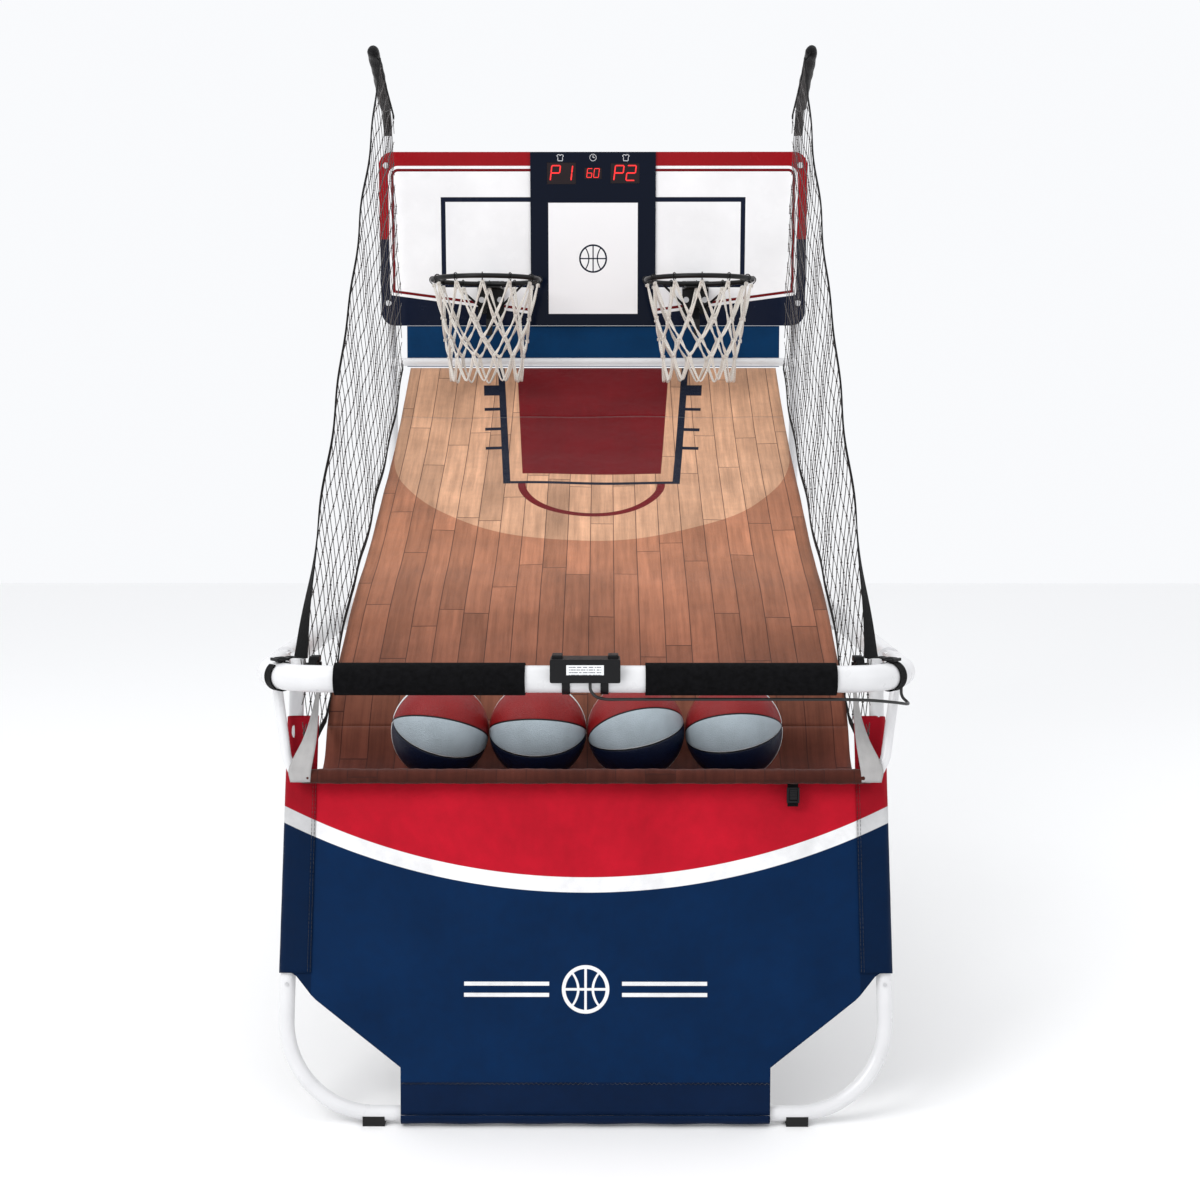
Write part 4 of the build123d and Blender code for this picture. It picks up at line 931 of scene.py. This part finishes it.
def net_strands(start, end):
    """Both families of strands of a net between two places along Y, and its knots, as (y, z) points."""
    across = np.array((math.cos(MESH_TURN), math.sin(MESH_TURN)))
    down = np.array((-across[1], across[0]))
    origin = np.array((0.0, 1.2))
    reach = range(-46, 47)
    steps = np.arange(-46, 46.01, 0.25) * MESH
    strands, knots = [], []
    for one, other in ((across, down), (down, across)):
        for k in reach:
            line = origin + one * steps[:, None] + other * (k * MESH)
            shift = np.stack(jitter(line[:, 0], line[:, 1]), axis=-1)
            strands += runs_inside(line + shift, start, end)
    for i in reach:
        line = origin + across * (i * MESH) + down * (np.array(reach)[:, None] * MESH)
        line = line + np.stack(jitter(line[:, 0], line[:, 1]), axis=-1)
        y, z = line[:, 0], line[:, 1]
        keep = (y > start) & (y < end) & (z > net_low(y) + 0.004) & (z < net_high(y) - 0.004)
        knots += list(line[keep])
    return strands, knots


def knot_arrays(centres, size):
    """Small six-sided knots, longer than wide."""
    ring = np.arange(6) * math.tau / 6
    shape = [(0, 0, 1.0)] + [(0.7 * math.cos(a), 0.7 * math.sin(a), 0.35) for a in ring]
    shape += [(0.7 * math.cos(a), 0.7 * math.sin(a), -0.35) for a in ring] + [(0, 0, -1.0)]
    shape = np.array(shape) * size
    faces = [(0, 1 + k, 1 + (k + 1) % 6) for k in range(6)]
    faces += [(1 + k, 7 + k, 7 + (k + 1) % 6, 1 + (k + 1) % 6) for k in range(6)]
    faces += [(13, 7 + (k + 1) % 6, 7 + k) for k in range(6)]
    verts = np.concatenate([shape + c for c in centres])
    return verts, [tuple(i + 14 * n for i in face) for n in range(len(centres)) for face in faces]


def net_piece(side, part, start, end, body):
    strands, knots = net_strands(start, end)
    lines = [net_point(side, s[:, 0], s[:, 1]) for s in strands]
    obj = tubes(f"netting_{part}_{SIDES[side]}", lines, 0.00085, 4, LOOKS["mesh_cloth"])
    verts, faces = knot_arrays([net_point(side, y, z) for y, z in knots], 0.0030)
    knot = mesh(f"knots_{part}_{SIDES[side]}", verts, faces, LOOKS["mesh_cloth"],
                uv=np.zeros((len(verts), 2)))
    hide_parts(f"net_{part}_{SIDES[side]}")
    for one in (obj, knot):
        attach(one, body)
    return obj, knot


def strap_arrays(centre, wide, thick):
    """Flat strap along a line of points, wide one way at each point and thick across. UV in metres."""
    centre, wide = np.asarray(centre, float), np.asarray(wide, float)
    along = np.gradient(centre, axis=0)
    flat = np.cross(along, wide)
    flat /= np.linalg.norm(flat, axis=1)[:, None]
    ring = [(-1, -1), (-0.33, -1), (0.33, -1), (1, -1), (1, 1), (0.33, 1), (-0.33, 1), (-1, 1)]
    rows = [centre + wide * a + flat * (b * thick / 2) for a, b in ring]
    verts = np.stack(rows, axis=1).reshape(-1, 3)
    half = np.linalg.norm(wide, axis=1)
    run = along_of(centre)
    uv = np.array([(a * half[k], run[k]) for k in range(len(centre)) for a, _ in ring])
    count = len(ring)
    faces = grid(len(centre), count, wrap=True)
    last = (len(centre) - 1) * count
    return verts, faces + [tuple(range(count))[::-1], tuple(range(last, last + count))], uv


def strap(name, centre, wide, thick, body, slot="webbing"):
    verts, faces, uv = strap_arrays(centre, wide, thick)
    obj = mesh(name, verts, faces, LOOKS[slot], uv=uv, smooth=False)
    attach(obj, body)
    return obj


def edge_tape(side, part, start, end, body):
    """Webbing on the net's front edge, turning edge-on as it climbs, and a narrow tape along the court."""
    ys = np.linspace(start, end, max(8, round((end - start) / 0.012)))
    top = net_point(side, ys, net_high(ys))
    turn = np.clip((ys - NET[0][0]) / 0.30, 0, 1)[:, None] ** 0.7
    slope = np.gradient(top, axis=0)
    slope /= np.linalg.norm(slope, axis=1)[:, None]
    inplane = np.cross(slope, (side, 0, 0)) * side
    wide = (np.array((side, 0, 0)) * (1 - turn) + inplane * turn)
    wide = wide / np.linalg.norm(wide, axis=1)[:, None] * (0.0115 - 0.0065 * turn)
    upper = strap(f"edge_{part}_{SIDES[side]}", top - inplane * 0.004 * turn, wide, 0.0022, body)
    low = net_point(side, ys, net_low(ys) + 0.004)
    lower = strap(f"tape_{part}_{SIDES[side]}", low, np.tile((0, 0, 0.007), (len(ys), 1)), 0.0016, body)
    return upper, lower


def side_net(side):
    (front, join), (_, split), (_, back) = NET[5]
    for part, start, end, body in (("front", front, join, "front_stand"), ("mid", join, split, "rear_frame"),
                                   ("rear", split, back, "rear_frame")):
        made = [*net_piece(side, part, start, end, body), *edge_tape(side, part, start, end, body)]
        if part == "mid":
            for obj in made:
                gather(obj)


side_net(-1)
side_net(1)


# ------------------------------------------------------------ hoop nets
LOOPS = 12
HOOP = middle("hoop_rim_right")
HOOP_R = float(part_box("hoop_rim_right")[1][0] - HOOP[0]) - 0.006
HOOP_Z = float(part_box("hoop_rim_right")[1][2]) - 0.006
HOOP_Y = float(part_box("hoop_rim_right")[0][1]) + 0.006 + HOOP_R
# Radius of each row of knots, and its drop below the rim
NET_ROWS = ((0.129, -0.010), (0.111, -0.098), (0.101, -0.148), (0.094, -0.191))


def round_hoop(side, turn, radius, drop):
    out = np.array((radius * math.cos(turn), radius * math.sin(turn), drop))
    return np.array((side * HOOP[0], HOOP_Y, HOOP_Z)) + out


def row_point(side, row, k, luck):
    """Knot k of a row, half a step round on every other row, a little out of true."""
    radius, drop = NET_ROWS[row]
    turn = (k + (row % 2) / 2) * math.tau / LOOPS
    loose = luck[row, k % LOOPS] * (0.0 if row == 0 else 1.0)
    return round_hoop(side, turn + loose[0] * 0.035, radius + loose[1] * 0.0018, drop + loose[2] * 0.004)


def twin(line, apart):
    """The two cords of a doubled strand, side by side along a line and crossing over once."""
    line = np.asarray(line)
    along = np.gradient(line, axis=0)
    out = line * (1, 1, 0) - np.array((np.sign(line[:, 0].mean()) * HOOP[0], HOOP_Y, 0))
    side = np.cross(along, out)
    side /= np.linalg.norm(side, axis=1)[:, None]
    out /= np.linalg.norm(out, axis=1)[:, None]
    share = np.linspace(0, 1, len(line))[:, None]
    turn = share * math.pi
    shift = (side * np.cos(turn) + out * np.sin(turn) * 0.8) * apart / 2
    return [line + shift, line - shift]


def sagging(a, b, bow, count=7):
    """Line from a to b that bows down."""
    share = np.linspace(0, 1, count)[:, None]
    line = a + (b - a) * share
    line[:, 2] -= bow * np.sin(share[:, 0] * math.pi)
    return line


def hoop_net(side):
    luck = RNG.uniform(-1, 1, (len(NET_ROWS), LOOPS, 3))
    lines, knots, hooks = [], [], []
    for k in range(LOOPS):
        for row in range(len(NET_ROWS) - 1):
            a = row_point(side, row, k, luck)
            for step in ((-1, 0) if row % 2 == 0 else (0, 1)):
                b = row_point(side, row + 1, k + step, luck)
                lines += twin(sagging(a, b, 0.003), 0.0044)
            if row:
                knots.append(a)
        a, b = row_point(side, 3, k, luck), row_point(side, 3, k + 1, luck)
        knots.append(a)
        turn = (k + 1) * math.tau / LOOPS
        low = round_hoop(side, turn, 0.0875, -0.250 + 0.003 * luck[3, k, 0])
        left, right = low * 0.5 + a * 0.5, low * 0.5 + b * 0.5
        left[2], right[2] = low[2] + 0.022, low[2] + 0.022
        hang = spline([a, a * 0.72 + left * 0.28 - (0, 0, 0.004), left, low, right, b * 0.72 + right * 0.28
                       - (0, 0, 0.004), b], 0.006)
        lines += twin(hang, 0.004)
        top = row_point(side, 0, k, luck)
        out = (round_hoop(side, k * math.tau / LOOPS, 1.0, 0) - round_hoop(side, 0, 0.0, 0)) * (1, 1, 0)
        turns = np.linspace(math.radians(-150), math.radians(150), 12)
        around = round_hoop(side, k * math.tau / LOOPS, HOOP_R, 0)
        hooks.append(np.array([around + out * 0.0083 * math.sin(t) + np.array((0, 0, 0.0083 * math.cos(t)))
                               for t in turns] + [top + (0, 0, -0.006), top + out * -0.004 + (0, 0, -0.002)]))
        knots.append(top + (0, 0, -0.004))
    obj = tubes(f"net_cords_{SIDES[side]}", lines, 0.0019, 8, LOOKS["net_cord"])
    knot_lines = []
    for c in knots:
        turns = np.linspace(0, 2.2 * math.tau, 34)
        drop = np.linspace(-0.0034, 0.0034, 34)
        knot_lines.append(c + np.stack([0.0033 * np.cos(turns), 0.0033 * np.sin(turns), drop], axis=-1))
    ties = tubes(f"net_knots_{SIDES[side]}", knot_lines, 0.0019, 8, LOOKS["net_cord"])
    clips = tubes(f"net_hooks_{SIDES[side]}", hooks, 0.0013, 8, LOOKS["black_steel"])
    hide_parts(f"hoop_net_{SIDES[side]}")
    for one, slot in ((obj, "net_cord"), (ties, "net_cord"), (clips, "black_steel")):
        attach(one, "rear_frame")


hoop_net(-1)
hoop_net(1)


# ------------------------------------------------------------ balls
# Roll, yaw and pitch of each ball, in degrees
BALL_TURNS = ((14, 12, 0), (0, -2, 0), (-12, 3, -12), (-8, -10, -6))
# Places round a seam where its groove needs vertices, as shares of a turn
GROOVE = [-0.012, -0.008, -0.0055, -0.004, -0.0028, -0.0014, 0.0,
          0.0014, 0.0028, 0.004, 0.0055, 0.008, 0.012]


def ball_mesh(radius):
    """A ball whose panel seams are grooves from pole to pole, with its poles at the left and right."""
    us = sorted({round(start + d, 5) for start in LUNES for d in GROOVE} | {
        round(k / 96, 5) for k in range(96) if min(abs(k / 96 - start) for start in LUNES) > 0.014})
    vs = np.linspace(0, 1, 73)
    verts, uv = [], []
    for v in vs:
        width = math.sin(v * math.pi)
        for u in us:
            gap = min(abs(u - start) for start in LUNES) * math.tau * width * radius
            depth = 0.0011 * math.exp(-(gap / 0.0016) ** 2) if 0.02 < v < 0.98 else 0.0011
            r = radius - depth
            turn = u * math.tau
            verts.append((-r * math.cos(v * math.pi), -r * width * math.cos(turn),
                          r * width * math.sin(turn)))
            uv.append((u, v))
    count = len(us)
    faces = grid(len(vs), count, wrap=True)
    corners = []
    for face in faces:
        for i in face:
            u, v = uv[i]
            wrapped = u + 1 if (face[0] % count == count - 1 and i % count == 0) else u
            corners.append((wrapped, v))
    return verts, faces, corners


def balls():
    for number, (roll, yaw, pitch) in enumerate(BALL_TURNS, 1):
        node = f"ball_{number}"
        lo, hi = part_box(node)
        verts, faces, corners = ball_mesh((hi[0] - lo[0]) / 2)
        obj = mesh(f"basketball_{number}", verts, faces, LOOKS["ball_skin"], uv=corners)
        obj.rotation_euler = (math.radians(pitch), math.radians(roll), math.radians(yaw))
        obj.location = (lo + hi) / 2
        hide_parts(node)
        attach(obj, node)


balls()


# ------------------------------------------------------------ rear cloth, pole sleeves and straps
def back_cloth():
    """Blue cloth stretched between the backboard and the crossbar."""
    lo, hi = (np.array(c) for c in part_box("back_panel"))
    xs, zs = np.linspace(lo[0], hi[0], 110), np.linspace(lo[2], hi[2], 22)
    x, z = np.meshgrid(xs, zs)
    share = (z - lo[2]) / (hi[2] - lo[2])
    y = hi[1] - 0.0006 - 0.0012 * np.sin(share * math.pi) * (1 + np.sin(x * 34 + 2 * share)) / 2
    verts = np.stack([x, y, z], axis=-1).reshape(-1, 3)
    obj = mesh("back_cloth", verts, grid(len(zs), len(xs)), LOOKS["back_cloth"],
               uv=np.stack([x, z], axis=-1).reshape(-1, 2))
    solid_sheet(obj, 0.0008, inward=False)
    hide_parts("back_panel")
    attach(obj, "rear_frame")


def pole_sleeve(side):
    """Black cloth sleeve over a net pole, creased along its length and closed at the tip."""
    centre, along, half = axis_of("pole_sleeves", side)
    along = along * np.sign(-along[1])
    radius = 0.0150
    stations = np.linspace(-half + 0.001, half - 0.001, 46)
    turns = np.arange(28) * math.tau / 28
    across = np.array((1.0, 0, 0))
    other = np.cross(along, across)
    verts, uv = [], []
    for t in stations:
        tip = math.sqrt(max(1 - max((t - half + 0.016) / 0.017, 0) ** 2, 0.02))
        for turn in turns:
            crease = 1 + 0.05 * math.sin(3 * turn + t * 38) + 0.035 * math.sin(t * 130 + turn) - 0.03
            ring = (radius * crease) * tip
            verts.append(centre + along * t + across * ring * math.cos(turn) + other * ring * math.sin(turn))
            uv.append((turn * radius, t))
    faces = grid(len(stations), len(turns), wrap=True)
    last = (len(stations) - 1) * len(turns)
    faces.append(tuple(range(last, last + len(turns))))
    obj = mesh(f"pole_sleeve_{SIDES[side]}", verts, faces, LOOKS["sleeve_cloth"], uv=uv)
    solid_sheet(obj, 0.0006)
    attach(obj, "rear_frame")
    if side < 0:
        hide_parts("pole_sleeves")
    tip = centre + along * (half - 0.004)
    top = net_point(side, NET[5][1][1], net_high(NET[5][1][1]))
    line = spline([tip, tip * 0.6 + top * 0.4 - (0, 0.004, 0.004), top], 0.004)
    strap(f"pole_tie_{SIDES[side]}", line, np.tile((0, 0.004, 0.002), (len(line), 1)), 0.0018, "rear_frame")


def loop_lines(centre, along, radius, start, end, count=40):
    """Centre line and width directions of a strap wound round a tube."""
    along = along / np.linalg.norm(along)
    up = np.array((0, 0, 1.0))
    side = np.cross(along, up)
    turns = np.linspace(start, end, count)[:, None]
    line = centre + (side * np.cos(turns) + up * np.sin(turns)) * radius
    return line, np.tile(along, (count, 1))


# Blocks of a buckle: two sides, two bars, a lever and its three ribs. Each has its middle along, across
# and up, then its length, width and height, all as shares of the buckle's own
BUCKLE_PARTS = (
    (0, 0.42, 0.5, 1.0, 0.16, 0.9),
    (0, -0.42, 0.5, 1.0, 0.16, 0.9),
    (0.42, 0, 0.4, 0.16, 0.8, 0.6),
    (-0.42, 0, 0.4, 0.16, 0.8, 0.6),
    (0.05, 0, 0.75, 0.66, 0.62, 0.45),
    (-0.1, 0, 1.02, 0.08, 0.6, 0.2),
    (0.06, 0, 1.02, 0.08, 0.6, 0.2),
    (0.22, 0, 1.02, 0.08, 0.6, 0.2),
)


def buckle(name, centre, along, across, up, size, body):
    """Moulded buckle: a rounded frame with a bar and a ribbed lever."""
    length, width, height = size
    parts = []
    for a, b, c, l, w, h in BUCKLE_PARTS:
        corners = [(i, j, k) for i in (-0.5, 0.5) for j in (-0.5, 0.5) for k in (-0.5, 0.5)]
        parts.append([centre + along * (a + i * l) * length + across * (b + j * w) * width
                      + up * (c + k * h) * height for i, j, k in corners])
    faces = [(0, 1, 3, 2), (4, 6, 7, 5), (0, 4, 5, 1), (2, 3, 7, 6), (0, 2, 6, 4), (1, 5, 7, 3)]
    verts = np.concatenate(parts)
    obj = mesh(name, verts, [tuple(i + 8 * n for i in f) for n in range(len(parts)) for f in faces],
               LOOKS["black_plastic"], smooth=False)
    bevel = obj.modifiers.new("bevel", "BEVEL")
    bevel.width, bevel.segments = 0.0006, 2
    bpy.context.view_layer.objects.active = obj
    bpy.ops.object.modifier_apply(modifier=bevel.name)
    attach(obj, body)
    return obj


def net_ties():
    """Webbing that ties each net to the bar's bend, and the buckle strap under the court sleeve."""
    points = points_of("webbing_straps")
    for side in (-1, 1):
        mine = points[(points[:, 0] * side > 0.40)]
        centre = (mine.min(0) + mine.max(0)) / 2
        centre[2] = BAR[2]
        along = np.array((side * 0.66, 0.75, 0))
        line, wide = loop_lines(centre, along, BAR_R + 0.0019, math.radians(100), math.radians(-235), 60)
        loop = strap(f"tie_loop_{SIDES[side]}", line, wide * 0.009, 0.0019, "front_stand")
        if side < 0:
            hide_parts("webbing_straps")
        corner = net_point(side, NET[0][0], net_high(NET[0][0]))
        start = centre + np.array((0, 0.004, BAR_R + 0.002))
        path = spline([start, (start + corner) / 2 + (0, 0, 0.004), corner], 0.004)
        strap(f"tie_tail_{SIDES[side]}", path, np.tile(along * 0.009, (len(path), 1)), 0.0018, "front_stand")
        flat = along / np.linalg.norm(along)
        buckle(f"tie_buckle_{SIDES[side]}", centre + (0, 0, BAR_R + 0.0028), flat, np.cross((0, 0, 1), flat),
               np.array((0, 0, 1.0)), (0.022, 0.024, 0.0055), "front_stand")
    x = 0.345                               # of the strap under the court sleeve
    mine = points[np.abs(points[:, 0] - x) < 0.03]
    lo, hi = mine.min(0), mine.max(0)
    y = (lo[1] + hi[1]) / 2
    path = np.stack([np.full(14, x), y + 0.0012 * np.sin(np.linspace(0, 5, 14)),
                     np.linspace(hi[2] + 0.006, lo[2], 14)], axis=-1)
    strap("sleeve_strap", path, np.tile((0.009, 0, 0), (14, 1)), 0.0018, "front_stand")
    buckle("sleeve_buckle", np.array((x, y - 0.001, (lo[2] + hi[2]) / 2)), np.array((0, 0, 1.0)),
           np.array((1.0, 0, 0)), np.array((0, -1.0, 0)), (0.026, 0.021, 0.007), "front_stand")


back_cloth()
pole_sleeve(-1)
pole_sleeve(1)
net_ties()


# ------------------------------------------------------------ lit digits, icons, label and cloth corners
SEGMENTS = {"P": "abefg", "1": "bc", "6": "acdefg", "0": "abcdef", "2": "abged"}
BAR_AHEAD = -float(BAR[1])                      # turns a distance behind the bar into Y
SCORE_FACE = float(max(points_of("score_displays") @ BOARD_OUT) - BOARD @ BOARD_OUT)
PANEL_FACE = float(max(points_of("score_panel") @ BOARD_OUT) - BOARD @ BOARD_OUT)


def bars(name, strokes, width, out, material, slot, body, half=0.0003):
    """Short raised strokes on the board's plane, pointed at both ends like display segments."""
    verts, faces = [], []
    for (x0, up0), (x1, up1) in strokes:
        a, b = np.array((x0, up0)), np.array((x1, up1))
        along = (b - a) / np.linalg.norm(b - a)
        side = np.array((-along[1], along[0])) * width / 2
        tip = along * width / 2
        ring = [a, a + tip + side, b - tip + side, b, b - tip - side, a + tip - side]
        first = len(verts)
        verts += [on_board(x, up, level) for level in (out - half, out + half) for x, up in ring]
        faces.append(tuple(range(first, first + 6)))
        faces.append(tuple(range(first + 6, first + 12))[::-1])
        faces += [(first + k, first + 6 + k, first + 6 + (k + 1) % 6, first + (k + 1) % 6) for k in range(6)]
    obj = mesh(name, verts, faces, material, smooth=False)
    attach(obj, body)
    return obj


def digits(name, text, x, up, width, height):
    """Seven-segment characters, leaning a little to the right."""
    strokes = []
    for k, letter in enumerate(text):
        left, w, h = x + (k - 1) * width * 1.42 + width * 0.21, width, height / 2
        corner = {"tl": (0, h), "tr": (w, h), "ml": (0, 0), "mr": (w, 0), "bl": (0, -h), "br": (w, -h)}
        ends = {"a": ("tl", "tr"), "b": ("tr", "mr"), "c": ("mr", "br"), "d": ("bl", "br"), "e": ("ml", "bl"),
                "f": ("tl", "ml"), "g": ("ml", "mr")}
        for segment in SEGMENTS[letter]:
            strokes.append(tuple((left + corner[c][0] + corner[c][1] * 0.12, up + corner[c][1])
                                 for c in ends[segment]))
    bars(name, strokes, height * 0.085, SCORE_FACE, LIT.material, "display", "rear_frame")


ICONS_UP = 0.4245                           # middle of the icons, up the board


def icons():
    """Two plain shirts and a clock over the displays."""
    strokes = []
    for x in (-0.084, 0.084):
        shirt = [(-3, 9), (-9, 5), (-6, 1), (-6, -9), (6, -9), (6, 1), (9, 5), (3, 9), (0, 5), (-3, 9)]
        line = [(x + a / 1000, ICONS_UP + b / 1100) for a, b in shirt]
        strokes += list(zip(line[:-1], line[1:]))
    turns = [k * math.tau / 14 for k in range(15)]
    ring = [(0.0085 * math.cos(turn), ICONS_UP + 0.0085 * math.sin(turn)) for turn in turns]
    strokes += list(zip(ring[:-1], ring[1:]))
    strokes += [((0, 0.4235), (0, 0.4305)), ((-0.0007, ICONS_UP), (0.005, ICONS_UP))]
    bars("score_icons", strokes, 0.0017, PANEL_FACE, ICON, "printed_board", "rear_frame", 0.0002)


def control_label():
    """Plain white plate with grey rules on the control box."""
    lo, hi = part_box("control_box")
    s = Shader("label_plate")
    x, _, z = s.place()
    rows = s.math("FRACT", s.over(z, 0.0042))
    ink = s.both(s.below(rows, 0.4, 0.05), s.below(s.size(x), 0.026), s.remap(
        s.noise(s.point(s.times(x, 320.0), s.math("FLOOR", s.over(z, 0.0042))), 1.0), 0.42, 0.5))
    s.finish(s.mix(ink, (0.78, 0.79, 0.80), (0.16, 0.17, 0.19)),
             s.vary(s.object_noise(60.0), 0.3, 0.42))
    z0, z1, y0 = lo[2] + 0.013, hi[2] - 0.009, lo[1] - 0.0004
    xs = np.linspace(-0.030, 0.030, 9)
    verts = [(x, y0, z) for z in (z0, z1) for x in xs] + [(x, y0 + 0.0008, z) for z in (z0, z1) for x in xs]
    n = len(xs)
    faces = grid(2, n) + [tuple(i + 2 * n for i in f)[::-1] for f in grid(2, n)]
    obj = mesh("control_label", verts, faces, s.material, smooth=False)
    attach(obj, "front_stand")


def corner_tie(side):
    """A pale satin tie that runs down the tray's edge and over the drop tube at its front corner."""
    rows = ((0.449, 0.455, 0.118, 0.690), (0.449, 0.462, 0.100, 0.650), (0.450, 0.474, 0.080, 0.612),
            (0.453, 0.487, 0.0655, 0.585), (0.456, 0.494, 0.0615, 0.566), (0.458, 0.491, 0.0620, 0.547))
    inner = spline([(side * a, y - BAR_AHEAD, z) for a, _, y, z in rows], 0.005)
    outer = spline([(side * b, y - BAR_AHEAD, z) for _, b, y, z in rows], 0.005)
    steps = np.linspace(0, 1, 30)
    inner, outer = (np.stack([np.interp(steps, np.linspace(0, 1, len(line)), line[:, k])
                              for k in range(3)], axis=-1) for line in (inner, outer))
    verts, uv = [], []
    for v in np.linspace(0, 1, 9):
        row = inner + (outer - inner) * v
        row[:, 1] -= 0.0015 * np.sin(v * math.pi) * steps + 0.0007 * np.sin(v * 14 + steps * 9)
        verts += list(row)
        uv += [(s * 0.16, v * 0.03) for s in steps]
    obj = mesh(f"corner_tie_{SIDES[side]}", verts, grid(9, len(steps)), CLOTH_BACK, uv=uv)
    solid_sheet(obj, 0.0006)
    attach(obj, "front_stand")


digits("digits_left", "P1", -0.081, 0.386, 0.022, 0.037)
digits("digits_timer", "60", 0.0, 0.386, 0.0125, 0.022)
digits("digits_right", "P2", 0.082, 0.386, 0.022, 0.037)
icons()
control_label()
corner_tie(-1)
corner_tie(1)


# ------------------------------------------------------------ camera, light and floor
def look():
    camera = bpy.data.objects.new("camera", bpy.data.cameras.new("camera"))
    camera.data.sensor_width = 36.0
    camera.data.lens = 53.8
    camera.location = (0.033, CAD_BOX[0][1] - 2.8215, 1.139)
    camera.rotation_euler = (math.radians(90 - 5.6), 0, math.radians(0.185))
    bpy.context.scene.collection.objects.link(camera)
    bpy.context.scene.camera = camera
    bpy.context.scene.view_settings.view_transform = "Standard"


def light(name, place, target, size, power, colour=(1, 1, 1)):
    lamp = bpy.data.lights.new(name, "AREA")
    lamp.shape = "RECTANGLE"
    lamp.size, lamp.size_y = size
    lamp.energy = power
    lamp.color = colour
    obj = bpy.data.objects.new(name, lamp)
    obj.location = place
    obj.rotation_euler = (Vector(target) - Vector(place)).to_track_quat("-Z", "Y").to_euler()
    bpy.context.scene.collection.objects.link(obj)


def studio():
    world = bpy.data.worlds.new("studio")
    world.use_nodes = True
    world.node_tree.nodes["Background"].inputs[0].default_value = (0.97, 0.98, 1.0, 1)
    world.node_tree.nodes["Background"].inputs[1].default_value = 0.98
    bpy.context.scene.world = world
    light("key", (-2.6, -3.6, 3.6), (0, 0, 1.0), (2.2, 2.2), 100)
    light("fill", (3.2, -3.0, 2.4), (0, 0, 1.0), (3.0, 2.4), 12)
    light("top", (0, 0.2, 4.2), (0, 0, 0.8), (3.4, 3.4), 25)
    floor = Shader("floor")
    floor.finish((0.93, 0.93, 0.93), 0.8)
    ground = mesh("floor", [(-9, -9, 0), (9, -9, 0), (9, 9, 0), (-9, 9, 0)], [(0, 1, 2, 3)], floor.material)


look()
studio()
